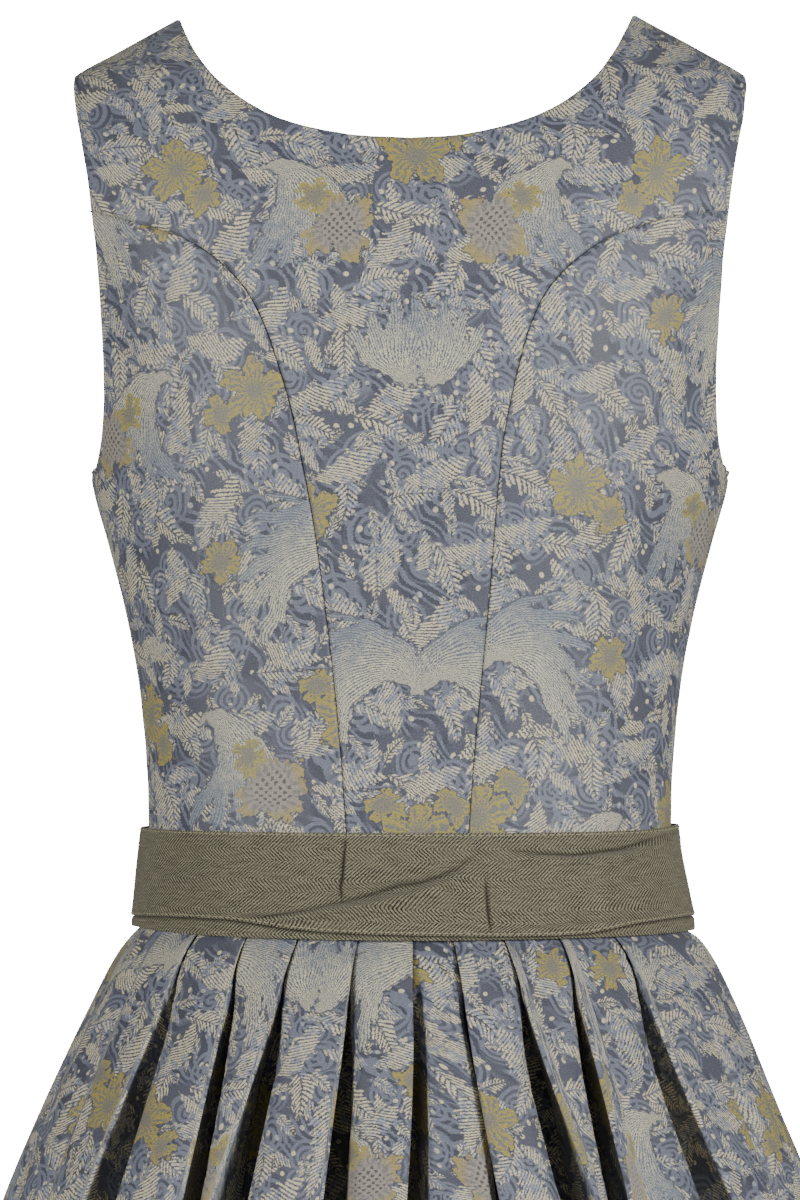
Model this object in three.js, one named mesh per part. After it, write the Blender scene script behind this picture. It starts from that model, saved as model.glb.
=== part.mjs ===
import * as THREE from 'three';

// A sleeveless folk dress, filled out as if worn: a fitted bodice in seven panels, a two-layer sash
// round the waist and a knife-pleated skirt. Millimetres, +Z up, the front faces -Y, and the
// wearer's left is +X. The origin lies midway between the tops of the two shoulder straps.

// Driving dimensions
const BODICE_WALL = 1.4;
const SKIRT_WALL = 1.2;
const SASH_WALL = 1.3;
const SEAM_GAP = 0.3;
const SKIRT_SEAM_GAP = 0.5;
const LAYER_GAP = 0.35;
const SHOULDER_TOP_X = 116;
const SHOULDER_TIP_X = 169.5;
const SHOULDER_TIP_Z = -30;
const UNDERARM_Z = -232;
const WAIST_SEAM_Z = -432;
const SKIRT_TOP_Z = WAIST_SEAM_Z - SEAM_GAP;
const SASH_TOP_Z = -405.5;
const SASH_BOTTOM_Z = -457;
const HEM_Z = -1058;
const BUTTON_RADIUS = 5.5;
const BUTTON_HEIGHT = 3.4;
const BUTTON_COUNT = 7;
const BUTTON_SEAT = 0.6;
const FRONT_LAP = 9;

// The cloths and the buttons, with their colour and how matt they are
const BROCADE = new THREE.MeshStandardMaterial({ color: 0x6f7686, roughness: 0.62, metalness: 0 });
const SASH_TWILL = new THREE.MeshStandardMaterial({ color: 0x6f6a57, roughness: 0.85, metalness: 0 });
const BUTTON_HORN = new THREE.MeshStandardMaterial({ color: 0x4d4a42, roughness: 0.4, metalness: 0 });

// Body sections from the shoulders to the waist seam: half width, depth behind and before the
// middle plane, and how far the cups stand out over the front.
const BODY_SECTIONS = [
  { z: 12, halfWidth: 96, back: 6, front: 6, cup: 0 },
  { z: 0, halfWidth: SHOULDER_TOP_X, back: 13, front: 13, cup: 0 },
  { z: -8, halfWidth: 130.5, back: 33, front: 32, cup: 0 },
  { z: -17, halfWidth: 146.8, back: 47, front: 46, cup: 0 },
  { z: SHOULDER_TIP_Z, halfWidth: SHOULDER_TIP_X, back: 60, front: 57, cup: 0 },
  { z: -45, halfWidth: 179, back: 72, front: 67, cup: 0 },
  { z: -66, halfWidth: 183, back: 85, front: 76, cup: 0 },
  { z: -98, halfWidth: 179, back: 98, front: 84, cup: 0 },
  { z: -145, halfWidth: 170, back: 106, front: 93, cup: 3 },
  { z: -191, halfWidth: 163.5, back: 108, front: 101, cup: 11 },
  { z: UNDERARM_Z, halfWidth: 160, back: 106, front: 104, cup: 18 },
  { z: -262, halfWidth: 152, back: 102, front: 103, cup: 18 },
  { z: -295, halfWidth: 143.5, back: 98, front: 100, cup: 12 },
  { z: -330, halfWidth: 136.8, back: 94, front: 95, cup: 5 },
  { z: -375, halfWidth: 132.3, back: 91, front: 89.5, cup: 0 },
  { z: -408, halfWidth: 131.5, back: 90, front: 87.6, cup: 0 },
  { z: WAIST_SEAM_Z, halfWidth: 132.4, back: 90.5, front: 88.6, cup: 0 },
  { z: -460, halfWidth: 136, back: 95, front: 95, cup: 0 },
];
const BODY_SQUARENESS = 2.2;
const CUP_CENTRE_X = 86;
const CUP_SPREAD = 42;

// Back panels, row by row from the armhole corner down: the centre line, the curved back seam on
// each side (x out, z), and the outer edge that follows the armhole and then the side seam.
const BACK_ROWS = [
  { centreZ: -60.5, leftX: 159.8, leftZ: -97, rightX: 159.8, rightZ: -97, outerX: 159.8, outerZ: -97 },
  { centreZ: -76, leftX: 130.5, leftZ: -105.5, rightX: 130, rightZ: -101, outerX: 157, outerZ: -120 },
  { centreZ: -90, leftX: 110, leftZ: -113, rightX: 110, rightZ: -107, outerX: 155.3, outerZ: -144 },
  { centreZ: -105, leftX: 93.5, leftZ: -124.5, rightX: 92.5, rightZ: -115, outerX: 154, outerZ: -166 },
  { centreZ: -122, leftX: 81.5, leftZ: -137.5, rightX: 77.5, rightZ: -127, outerX: 153.5, outerZ: -187 },
  { centreZ: -141, leftX: 73, leftZ: -153, rightX: 66, rightZ: -141, outerX: 154.2, outerZ: -204 },
  { centreZ: -162, leftX: 66.5, leftZ: -171, rightX: 58, rightZ: -160, outerX: 155.8, outerZ: -216 },
  { centreZ: -188, leftX: 59, leftZ: -196, rightX: 51, rightZ: -187, outerX: 158.6, outerZ: -227 },
  { centreZ: -214, leftX: 54, leftZ: -220, rightX: 46, rightZ: -213, outerX: 160, outerZ: UNDERARM_Z },
  { centreZ: -248, leftX: 48, leftZ: -252, rightX: 42.5, rightZ: -248, outerX: 152, outerZ: -262 },
  { centreZ: -285, leftX: 43, leftZ: -288, rightX: 39.7, rightZ: -285, outerX: 143.5, outerZ: -295 },
  { centreZ: -324, leftX: 38.5, leftZ: -325, rightX: 36, rightZ: -324, outerX: 136.8, outerZ: -330 },
  { centreZ: -366, leftX: 34.5, leftZ: -366, rightX: 32, rightZ: -366, outerX: 132.3, outerZ: -375 },
  { centreZ: -404, leftX: 31.8, leftZ: -404, rightX: 29.3, rightZ: -404, outerX: 131.5, outerZ: -408 },
  { centreZ: WAIST_SEAM_Z, leftX: 30.5, leftZ: WAIST_SEAM_Z, rightX: 28, rightZ: WAIST_SEAM_Z,
    outerX: 132.4, outerZ: WAIST_SEAM_Z },
];

// Back straps, row by row from the neck up to the shoulder seam: neckline and armhole edge.
const BACK_STRAP_ROWS = [
  { neckX: 32, neckZ: -59.3, armX: 160.8, armZ: -88 },
  { neckX: 59, neckZ: -53, armX: 162.4, armZ: -77 },
  { neckX: 80, neckZ: -44, armX: 164.4, armZ: -65 },
  { neckX: 97, neckZ: -31, armX: 167, armZ: -52 },
  { neckX: 107.5, neckZ: -18, armX: 168.8, armZ: -41 },
  { neckX: 113.2, neckZ: -7.5, armX: 169.6, armZ: -34 },
  { neckX: SHOULDER_TOP_X, neckZ: 0, armX: SHOULDER_TIP_X, armZ: SHOULDER_TIP_Z },
];

// Front centre panels from the shoulder seam down: neckline then front edge, and the armhole then
// the curved front seam.
const FRONT_CENTRE_ROWS = [
  { innerX: SHOULDER_TOP_X, innerZ: 0, outerX: SHOULDER_TIP_X, outerZ: SHOULDER_TIP_Z },
  { innerX: 116.5, innerZ: -8, outerX: 168.4, outerZ: -35 },
  { innerX: 116, innerZ: -24, outerX: 164.5, outerZ: -47 },
  { innerX: 114, innerZ: -47, outerX: 158.5, outerZ: -66 },
  { innerX: 111, innerZ: -71, outerX: 152.5, outerZ: -90 },
  { innerX: 105, innerZ: -95, outerX: 148, outerZ: -113 },
  { innerX: 94, innerZ: -115, outerX: 145.8, outerZ: -133 },
  { innerX: 76, innerZ: -131, outerX: 145.3, outerZ: -150 },
  { innerX: 54, innerZ: -141, outerX: 128, outerZ: -168 },
  { innerX: 30, innerZ: -147, outerX: 112, outerZ: -190 },
  { innerX: 0, innerZ: -149, outerX: 100, outerZ: -213 },
  { innerX: 0, innerZ: -170, outerX: 94, outerZ: -232 },
  { innerX: 0, innerZ: -194, outerX: 89.5, outerZ: -250 },
  { innerX: 0, innerZ: -221, outerX: 85.5, outerZ: -270 },
  { innerX: 0, innerZ: -249, outerX: 81.5, outerZ: -290 },
  { innerX: 0, innerZ: -280, outerX: 77, outerZ: -312 },
  { innerX: 0, innerZ: -313, outerX: 72.5, outerZ: -336 },
  { innerX: 0, innerZ: -365, outerX: 66.5, outerZ: -378 },
  { innerX: 0, innerZ: -404, outerX: 63.5, outerZ: -408 },
  { innerX: 0, innerZ: WAIST_SEAM_Z, outerX: 62.5, outerZ: WAIST_SEAM_Z },
];
const FRONT_SEAM_FIRST_ROW = 7;
const FRONT_EDGE_FIRST_ROW = 10;

// Outer edge of the front side panels, for the rows that start at the front seam's first point.
const FRONT_SIDE_OUTER = [
  { x: 145.3, z: -150 },
  { x: 145.8, z: -172 },
  { x: 148.2, z: -191 },
  { x: 151.8, z: -208 },
  { x: 155, z: -219.5 },
  { x: 158.2, z: -228 },
  { x: 160, z: UNDERARM_Z },
  { x: 152, z: -262 },
  { x: 143.5, z: -295 },
  { x: 136.8, z: -330 },
  { x: 132.3, z: -375 },
  { x: 131.5, z: -408 },
  { x: 132.4, z: WAIST_SEAM_Z },
];

// Sash sections: the outside of the outer layer.
const SASH_SECTIONS = [
  { z: SASH_TOP_Z + 6, halfWidth: 135.2, depth: 93.2 },
  { z: SASH_TOP_Z, halfWidth: 135.6, depth: 93.6 },
  { z: -417, halfWidth: 136.9, depth: 95 },
  { z: -430, halfWidth: 138.3, depth: 97 },
  { z: -444, halfWidth: 139.5, depth: 98.8 },
  { z: SASH_BOTTOM_Z, halfWidth: 140.6, depth: 100.4 },
  { z: SASH_BOTTOM_Z - 6, halfWidth: 141, depth: 101 },
];

// Lower edge of the sash's outer layer round the waist: it rises a little towards both sides.
const SASH_OVER_EDGE = [
  { turn: -180, z: -455 },
  { turn: -80, z: -449 },
  { turn: -52, z: -451 },
  { turn: -34, z: -456.4 },
  { turn: 0, z: -456.4 },
  { turn: 22, z: -454 },
  { turn: 40, z: -449 },
  { turn: 80, z: -449 },
  { turn: 180, z: -455 },
];
const SASH_LAP_START = 196;
const SASH_LAP_TURN = 24;

// Skirt sections, outside the folds: half width, half depth, squareness, how deep the folds go,
// how far a fold tucks under its neighbour, and the depth of the hairpin at a fold's edge.
const SKIRT_SECTIONS = [
  { z: SKIRT_TOP_Z, halfWidth: 134.2, halfDepth: 92.8, square: 2.2, deep: 6.6, tuck: 8, round: 2.4 },
  { z: -446, halfWidth: 135.6, halfDepth: 95, square: 2.2, deep: 7, tuck: 8, round: 2.4 },
  { z: -459, halfWidth: 136.6, halfDepth: 96.2, square: 2.2, deep: 8, tuck: 7, round: 2.6 },
  { z: -466, halfWidth: 144.8, halfDepth: 104.2, square: 2.18, deep: 9.4, tuck: 5.8, round: 2.8 },
  { z: -474, halfWidth: 151, halfDepth: 111, square: 2.15, deep: 11, tuck: 4.5, round: 3 },
  { z: -492, halfWidth: 161, halfDepth: 123, square: 2.12, deep: 14, tuck: 1.5, round: 3.4 },
  { z: -516, halfWidth: 172, halfDepth: 137, square: 2.1, deep: 18, tuck: -1, round: 4 },
  { z: -553, halfWidth: 188.5, halfDepth: 157, square: 2.08, deep: 22, tuck: -3, round: 4.6 },
  { z: -590, halfWidth: 203, halfDepth: 175, square: 2.06, deep: 25, tuck: -4.5, round: 5 },
  { z: -660, halfWidth: 228, halfDepth: 203, square: 2.04, deep: 27, tuck: -6, round: 5.5 },
  { z: -770, halfWidth: 264, halfDepth: 241, square: 2.03, deep: 29, tuck: -8, round: 6 },
  { z: -910, halfWidth: 306, halfDepth: 286, square: 2.02, deep: 31, tuck: -10, round: 6.5 },
  { z: HEM_Z, halfWidth: 344, halfDepth: 326, square: 2.02, deep: 32, tuck: -12, round: 7 },
];
const FOLD_TABLE_TOP_Z = -459;
const FOLD_TABLE_LOW_Z = -590;

// The folded edges round the skirt, by the turn from centre back towards the wearer's left, at the
// sash and at the lower height above. side says where the edge's own panel lies (1 on, -1 back),
// and open is how far the valley beside it gapes there, over the section's own.
const FOLDS = [
  { sash: -0.4, low: 1, side: 1, open: 7 },
  { sash: 10.8, low: 13.3, side: 1, open: 2 },
  { sash: 23.3, low: 28.9, side: 1, open: 5 },
  { sash: 34.9, low: 34.2, side: 1, open: -1 },
  { sash: 48.5, low: 53, side: 1, open: 6 },
  { sash: 61.5, low: 60.5, side: -1, open: 0 },
  { sash: 76, low: 76, side: -1, open: 1 },
  { sash: 91, low: 92, side: -1, open: 3 },
  { sash: 106, low: 106, side: -1, open: 0 },
  { sash: 120, low: 122, side: -1, open: 4 },
  { sash: 135, low: 135, side: -1, open: 1 },
  { sash: 150, low: 151, side: -1, open: 3 },
  { sash: 166, low: 167, side: -1, open: 5 },
  { sash: 195, low: 194, side: 1, open: 5 },
  { sash: 210, low: 209, side: 1, open: 2 },
  { sash: 225, low: 226, side: 1, open: 3 },
  { sash: 240, low: 239, side: 1, open: 0 },
  { sash: 255, low: 254, side: 1, open: 4 },
  { sash: 270, low: 269, side: 1, open: 1 },
  { sash: 285, low: 284, side: 1, open: 2 },
  { sash: 300.7, low: 298.6, side: 1, open: 3 },
  { sash: 315.2, low: 307.5, side: -1, open: 6 },
  { sash: 328.8, low: 327.6, side: -1, open: 0 },
  { sash: 340.7, low: 332.6, side: -1, open: 5 },
  { sash: 351.1, low: 346.2, side: -1, open: 0 },
];
const SIDE_SEAM_FOLDS = [7, 18];

const DEGREE = Math.PI / 180;
const TURN_STEP = 0.01;

// A smooth curve through one column of a table whose rows are in order of another column.
function column(rows, key, at, value) {
  const rising = rows[rows.length - 1][key] > rows[0][key];
  const last = rows.length - 2;
  let i = 0;
  while (i < last && (rising ? at > rows[i + 1][key] : at < rows[i + 1][key])) i += 1;
  const before = rows[Math.max(i - 1, 0)];
  const from = rows[i];
  const to = rows[i + 1];
  const after = rows[Math.min(i + 2, rows.length - 1)];
  const span = to[key] - from[key];
  const t = THREE.MathUtils.clamp((at - from[key]) / span, 0, 1);
  const slopeFrom = ((to[value] - before[value]) / (to[key] - before[key])) * span;
  const slopeTo = ((after[value] - from[value]) / (after[key] - from[key])) * span;
  const t2 = t * t;
  const t3 = t2 * t;
  return (2 * t3 - 3 * t2 + 1) * from[value] + (t3 - 2 * t2 + t) * slopeFrom
    + (3 * t2 - 2 * t3) * to[value] + (t3 - t2) * slopeTo;
}

// A point on a rounded ring, by the turn from centre back (+Y) towards +X.
function ringPoint(halfWidth, halfDepth, square, turn, z) {
  const across = Math.sin(turn);
  const along = Math.cos(turn);
  const scale = (Math.abs(across) ** square + Math.abs(along) ** square) ** (-1 / square);
  return new THREE.Vector3(halfWidth * across * scale, halfDepth * along * scale, z);
}

// The body's surface, with the cups on the front half.
function bodyPoint(turn, z) {
  const halfWidth = column(BODY_SECTIONS, 'z', z, 'halfWidth');
  const isFront = Math.cos(turn) < 0;
  const depth = column(BODY_SECTIONS, 'z', z, isFront ? 'front' : 'back');
  const point = ringPoint(halfWidth, depth, BODY_SQUARENESS, turn, z);
  if (isFront) {
    const fromCup = (Math.abs(point.x) - CUP_CENTRE_X) / CUP_SPREAD;
    point.y += column(BODY_SECTIONS, 'z', z, 'cup') * Math.cos(turn) * Math.exp(-fromCup * fromCup);
  }
  return point;
}

// The turn at which the body's surface lies x out from the middle plane.
function turnAt(x, z, isFront) {
  const share = Math.min(Math.abs(x) / column(BODY_SECTIONS, 'z', z, 'halfWidth'), 1);
  const along = (1 - share ** BODY_SQUARENESS) ** (1 / BODY_SQUARENESS);
  const turn = Math.atan2(share, isFront ? -along : along);
  return x < 0 ? 2 * Math.PI - turn : turn;
}

function bodyNormal(turn, z) {
  const zStep = 0.5;
  const round = bodyPoint(turn + TURN_STEP, z).sub(bodyPoint(turn - TURN_STEP, z));
  const down = bodyPoint(turn, z - zStep).sub(bodyPoint(turn, z + zStep));
  return round.cross(down).normalize();
}

const SAME_POINT = 0.005;

// A surface patch under construction: outside points, their normals and faces seen from outside.
class Patch {
  constructor() {
    this.points = [];
    this.normals = [];
    this.faces = [];
    this.known = new Map();
  }

  vertex(point, normal) {
    const key = [point.x, point.y, point.z].map((n) => Math.round(n / SAME_POINT)).join();
    if (!this.known.has(key)) {
      this.known.set(key, this.points.length);
      this.points.push(point);
      this.normals.push(normal);
    }
    return this.known.get(key);
  }

  face(a, b, c) {
    if (a !== b && b !== c && c !== a) this.faces.push([a, b, c]);
  }

  // Faces between rows of vertices. Rows run in the direction of rising turn and go downwards.
  rows(rows) {
    for (let i = 0; i + 1 < rows.length; i += 1) {
      const upper = rows[i];
      const lower = rows[i + 1];
      for (let j = 0; j + 1 < lower.length; j += 1) {
        this.face(upper[j], lower[j + 1], lower[j]);
        this.face(upper[j], upper[j + 1], lower[j + 1]);
      }
    }
  }

  // Each open edge as a pair of vertices, in the direction of its face.
  rim() {
    const edges = new Map();
    for (const [a, b, c] of this.faces) {
      for (const [from, to] of [[a, b], [b, c], [c, a]]) edges.set(`${from},${to}`, [from, to]);
    }
    return [...edges.values()].filter(([from, to]) => !edges.has(`${to},${from}`));
  }

  // Draws the open edges in by half a seam's gap, so that neighbours stay apart.
  trim(amount) {
    const shifts = new Map();
    for (const [from, to] of this.rim()) {
      const along = this.points[to].clone().sub(this.points[from]).normalize();
      for (const i of [from, to]) {
        if (!shifts.has(i)) shifts.set(i, []);
        shifts.get(i).push(this.normals[i].clone().cross(along).normalize());
      }
    }
    for (const [i, [first, second]] of shifts) {
      const reach = amount / (1 + Math.max(first.dot(second), -0.5));
      this.points[i].addScaledVector(first.add(second), reach);
    }
  }

  // The closed wall: outside, inside and the narrow faces round every open edge.
  wall(name, material, insides) {
    const positions = [];
    const put = (...corners) => corners.forEach((p) => positions.push(p.x, p.y, p.z));
    for (const [a, b, c] of this.faces) {
      put(this.points[a], this.points[b], this.points[c]);
      put(insides[c], insides[b], insides[a]);
    }
    for (const [a, b] of this.rim()) {
      put(this.points[b], this.points[a], insides[a]);
      put(this.points[b], insides[a], insides[b]);
    }
    const geometry = new THREE.BufferGeometry();
    geometry.setAttribute('position', new THREE.Float32BufferAttribute(positions, 3));
    geometry.computeVertexNormals();
    const mesh = new THREE.Mesh(geometry, material);
    mesh.name = name;
    return mesh;
  }

  insetWall(name, material, thickness) {
    const insides = this.points.map((p, i) => p.clone().addScaledVector(this.normals[i], -thickness));
    return this.wall(name, material, insides);
  }
}

// One row of body vertices between two edge points, each given by its turn and height.
function bodyRow(patch, from, to, steps, lift = () => 0) {
  const row = [];
  for (let j = 0; j <= steps; j += 1) {
    const t = j / steps;
    const turn = from.turn + (to.turn - from.turn) * t;
    const z = from.z + (to.z - from.z) * t;
    const normal = bodyNormal(turn, z);
    const point = bodyPoint(turn, z);
    point.addScaledVector(normal, lift(point));
    row.push(patch.vertex(point, normal));
  }
  return row;
}

const edgeAt = (x, z, isFront) => ({ turn: turnAt(x, z, isFront), z });

// A row's mirror on the wearer's right runs the other way round.
const mirrored = (edge) => ({ turn: 2 * Math.PI - edge.turn, z: edge.z });

function backCentrePanel() {
  const patch = new Patch();
  const steps = 6;
  for (const sign of [1, -1]) {
    const body = BACK_ROWS.map((row) => {
      const seam = sign > 0 ? edgeAt(row.leftX, row.leftZ, false) : edgeAt(row.rightX, row.rightZ, false);
      const centre = { turn: 0, z: row.centreZ };
      if (sign > 0) return bodyRow(patch, centre, seam, steps);
      return bodyRow(patch, mirrored(seam), mirrored(centre), steps);
    });
    const strap = BACK_STRAP_ROWS.map((row) => {
      const neck = edgeAt(row.neckX, row.neckZ, false);
      const arm = edgeAt(row.armX, row.armZ, false);
      if (sign > 0) return bodyRow(patch, neck, arm, steps);
      return bodyRow(patch, mirrored(arm), mirrored(neck), steps);
    });
    patch.rows([...strap.reverse(), ...body]);
  }
  patch.trim(SEAM_GAP / 2);
  return patch.insetWall('back_centre_panel', BROCADE, BODICE_WALL);
}

function backSidePanel(name, sign) {
  const patch = new Patch();
  const steps = 8;
  patch.rows(BACK_ROWS.map((row) => {
    const seam = sign > 0 ? edgeAt(row.leftX, row.leftZ, false) : edgeAt(row.rightX, row.rightZ, false);
    const outer = row.outerZ > UNDERARM_Z ? edgeAt(row.outerX, row.outerZ, false)
      : { turn: Math.PI / 2, z: row.outerZ };
    if (sign > 0) return bodyRow(patch, seam, outer, steps);
    return bodyRow(patch, mirrored(outer), mirrored(seam), steps);
  }));
  patch.trim(SEAM_GAP / 2);
  return patch.insetWall(name, BROCADE, BODICE_WALL);
}

// The right front laps over the left front along centre front, one cloth further out.
const LAP_LIFT = BODICE_WALL + LAYER_GAP;
const lapLift = (point) => LAP_LIFT * THREE.MathUtils.smoothstep(point.x, -24, -FRONT_LAP - 1.5);

function frontCentrePanel(name, sign) {
  const patch = new Patch();
  const steps = 8;
  patch.rows(FRONT_CENTRE_ROWS.map((row, i) => {
    const outer = edgeAt(row.outerX, row.outerZ, true);
    const isOpening = i >= FRONT_EDGE_FIRST_ROW;
    const inner = edgeAt(isOpening ? FRONT_LAP : row.innerX, row.innerZ, true);
    if (sign > 0) return bodyRow(patch, outer, inner, steps);
    return bodyRow(patch, isOpening ? inner : mirrored(inner), mirrored(outer), steps, lapLift);
  }));
  patch.trim(SEAM_GAP / 2);
  return patch.insetWall(name, BROCADE, BODICE_WALL);
}

function frontSidePanel(name, sign) {
  const patch = new Patch();
  const steps = 6;
  patch.rows(FRONT_SIDE_OUTER.map((side, i) => {
    const seamRow = FRONT_CENTRE_ROWS[FRONT_SEAM_FIRST_ROW + i];
    const seam = edgeAt(seamRow.outerX, seamRow.outerZ, true);
    const outer = side.z > UNDERARM_Z ? edgeAt(side.x, side.z, true) : { turn: Math.PI / 2, z: side.z };
    if (sign > 0) return bodyRow(patch, outer, seam, steps);
    return bodyRow(patch, mirrored(seam), mirrored(outer), steps);
  }));
  patch.trim(SEAM_GAP / 2);
  return patch.insetWall(name, BROCADE, BODICE_WALL);
}

// A point on the sash, a given depth in from the outside of its outer layer.
function sashPoint(turn, z, depthIn) {
  const halfWidth = column(SASH_SECTIONS, 'z', z, 'halfWidth') - depthIn;
  const halfDepth = column(SASH_SECTIONS, 'z', z, 'depth') - depthIn;
  return ringPoint(halfWidth, halfDepth, BODY_SQUARENESS, turn, z);
}

// One turn of the sash between two heights, which may vary round the waist.
function sashWrap(name, startTurn, turns, columns, depthIn, topZ, bottomZ) {
  const patch = new Patch();
  const insides = [];
  const rowCount = 4;
  const rows = [];
  for (let i = 0; i <= rowCount; i += 1) {
    const row = [];
    for (let j = 0; j <= columns; j += 1) {
      const t = j / columns;
      const turn = (startTurn + turns * t) * DEGREE;
      const z = topZ + (bottomZ(turn) - topZ) * (i / rowCount);
      const depth = depthIn(t);
      const vertex = patch.vertex(sashPoint(turn, z, depth), new THREE.Vector3());
      insides[vertex] = sashPoint(turn, z, depth + SASH_WALL);
      row.push(vertex);
    }
    rows.push(row);
  }
  patch.rows(rows);
  return patch.wall(name, SASH_TWILL, insides);
}

function sashUnder() {
  const depth = SASH_WALL + LAYER_GAP;
  return sashWrap('sash_under_layer', 0, 360, 60, () => depth, SASH_TOP_Z - 1, () => SASH_BOTTOM_Z - 1.5);
}

// The outer layer starts at the wearer's right front and ends lapped over its own start.
function sashOver() {
  const lapShare = SASH_LAP_TURN / (360 + SASH_LAP_TURN);
  const liftShare = 2 * lapShare;
  const rise = SASH_WALL + LAYER_GAP;
  const depth = (t) => -rise * THREE.MathUtils.smoothstep(t, 1 - liftShare, 1 - lapShare - 0.015);
  const edge = (turn) => {
    const degrees = THREE.MathUtils.euclideanModulo(turn / DEGREE + 180, 360) - 180;
    return column(SASH_OVER_EDGE, 'turn', degrees, 'z');
  };
  return sashWrap('sash_over_layer', SASH_LAP_START, 360 + SASH_LAP_TURN, 66, depth, SASH_TOP_Z, edge);
}

// A skirt point, by its turn, height and depth in from the outside of the folds.
function skirtPoint(turn, z, depthIn) {
  const halfWidth = column(SKIRT_SECTIONS, 'z', z, 'halfWidth') - depthIn;
  const halfDepth = column(SKIRT_SECTIONS, 'z', z, 'halfDepth') - depthIn;
  return ringPoint(halfWidth, halfDepth, column(SKIRT_SECTIONS, 'z', z, 'square'), turn, z);
}

// Where a panel's two middle points lie, from its tucked end to its edge: along it, and out from the
// bottom of the fold, where the folds are tucked under each other and where they hang open.
const PANEL_SHAPE = [
  { along: 0.3, tucked: 0.14, open: 0.55 },
  { along: 0.64, tucked: 0.74, open: 0.88 },
];
const TUCKED_FROM = -2;
const TUCKED_FULL = 5;
const HAIRPIN_LEAN_TUCKED = 0.4;
const HAIRPIN_LEAN_OPEN = -1.6;

// The middle line of the pleated cloth at one height, fold by fold round the skirt. Each fold gives
// a hairpin at its outer edge and one at its inner edge, tucked under or standing apart from it.
function pleatLine(z) {
  const deep = column(SKIRT_SECTIONS, 'z', z, 'deep') - SKIRT_WALL;
  const tuck = column(SKIRT_SECTIONS, 'z', z, 'tuck');
  const round = column(SKIRT_SECTIONS, 'z', z, 'round');
  const low = THREE.MathUtils.clamp((FOLD_TABLE_TOP_Z - z) / (FOLD_TABLE_TOP_Z - FOLD_TABLE_LOW_Z), 0, 1);
  const halfWall = SKIRT_WALL / 2;
  const tucked = THREE.MathUtils.smoothstep(tuck, TUCKED_FROM, TUCKED_FULL);
  const lean = THREE.MathUtils.lerp(HAIRPIN_LEAN_OPEN, HAIRPIN_LEAN_TUCKED, tucked);
  const folds = FOLDS.map((fold) => {
    const turn = (fold.sash + (fold.low - fold.sash) * low) * DEGREE;
    const speed = skirtPoint(turn + TURN_STEP, z, 0).distanceTo(skirtPoint(turn, z, 0)) / TURN_STEP;
    const inner = turn + (fold.side * (tuck - fold.open * low)) / speed;
    const edge = { turn, depth: halfWall };
    const under = { turn: turn + (fold.side * lean) / speed, depth: halfWall + round };
    const valley = { turn: inner, depth: halfWall + deep };
    const above = { turn: inner - (fold.side * lean) / speed, depth: halfWall + deep - round };
    return fold.side > 0 ? [valley, above, under, edge] : [edge, under, above, valley];
  });
  const line = [];
  folds.forEach((fold, i) => {
    const next = folds[(i + 1) % folds.length][0];
    const last = fold[fold.length - 1];
    const wrap = i + 1 === folds.length ? 2 * Math.PI : 0;
    const isLevel = last.depth === next.depth;
    const isRising = last.depth < next.depth;
    line.push(...fold);
    for (const shape of isRising ? PANEL_SHAPE.toReversed() : PANEL_SHAPE) {
      const share = isRising ? 1 - shape.along : shape.along;
      const out = THREE.MathUtils.lerp(shape.open, shape.tucked, tucked);
      const depth = isLevel ? last.depth : halfWall + deep * (1 - out);
      line.push({ turn: last.turn + (next.turn + wrap - last.turn) * share, depth });
    }
  });
  return line.map((p) => skirtPoint(p.turn, z, p.depth));
}

// The same line moved sideways in the level plane, with mitred corners.
function offsetLine(line, amount) {
  return line.map((point, i) => {
    const before = line[(i + line.length - 1) % line.length];
    const after = line[(i + 1) % line.length];
    const into = point.clone().sub(before).normalize();
    const onward = after.clone().sub(point).normalize();
    const first = new THREE.Vector3(-into.y, into.x, 0);
    const second = new THREE.Vector3(-onward.y, onward.x, 0);
    const reach = amount / Math.max(1 + first.dot(second), 0.45);
    return point.clone().addScaledVector(first.add(second), reach);
  });
}

const POINTS_PER_FOLD = 4 + PANEL_SHAPE.length;

// A width of the skirt between two side seams, each hidden at the bottom of a fold.
function skirtWidth(name, firstPoint, lastPoint) {
  const patch = new Patch();
  const insides = [];
  const normal = new THREE.Vector3();
  const rows = SKIRT_SECTIONS.map(({ z }) => {
    const line = pleatLine(z);
    const outside = offsetLine(line, SKIRT_WALL / 2);
    const inside = offsetLine(line, -SKIRT_WALL / 2);
    const row = [];
    for (let i = firstPoint; i <= lastPoint; i += 1) {
      const k = i % line.length;
      const isEnd = i === firstPoint || i === lastPoint;
      const neighbour = (i === firstPoint ? k + 1 : k + line.length - 1) % line.length;
      const share = isEnd ? SKIRT_SEAM_GAP / 2 / line[k].distanceTo(line[neighbour]) : 0;
      const vertex = patch.vertex(outside[k].clone().lerp(outside[neighbour], share), normal);
      insides[vertex] = inside[k].clone().lerp(inside[neighbour], share);
      row.push(vertex);
    }
    return row;
  });
  patch.rows(rows);
  return patch.wall(name, BROCADE, insides);
}

// A small domed button with a rolled rim, lying on the lapped front.
function button(name, z) {
  const profile = [
    [0, 0],
    [BUTTON_RADIUS * 0.82, 0],
    [BUTTON_RADIUS, BUTTON_HEIGHT * 0.3],
    [BUTTON_RADIUS * 0.94, BUTTON_HEIGHT * 0.62],
    [BUTTON_RADIUS * 0.6, BUTTON_HEIGHT * 0.92],
    [0, BUTTON_HEIGHT],
  ].map(([radius, height]) => new THREE.Vector2(radius, height));
  const mesh = new THREE.Mesh(new THREE.LatheGeometry(profile, 14), BUTTON_HORN);
  const outward = bodyNormal(Math.PI, z);
  mesh.position.copy(bodyPoint(Math.PI, z)).addScaledVector(outward, LAP_LIFT + BUTTON_SEAT);
  mesh.quaternion.setFromUnitVectors(new THREE.Vector3(0, 1, 0), outward);
  mesh.name = name;
  return mesh;
}

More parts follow.
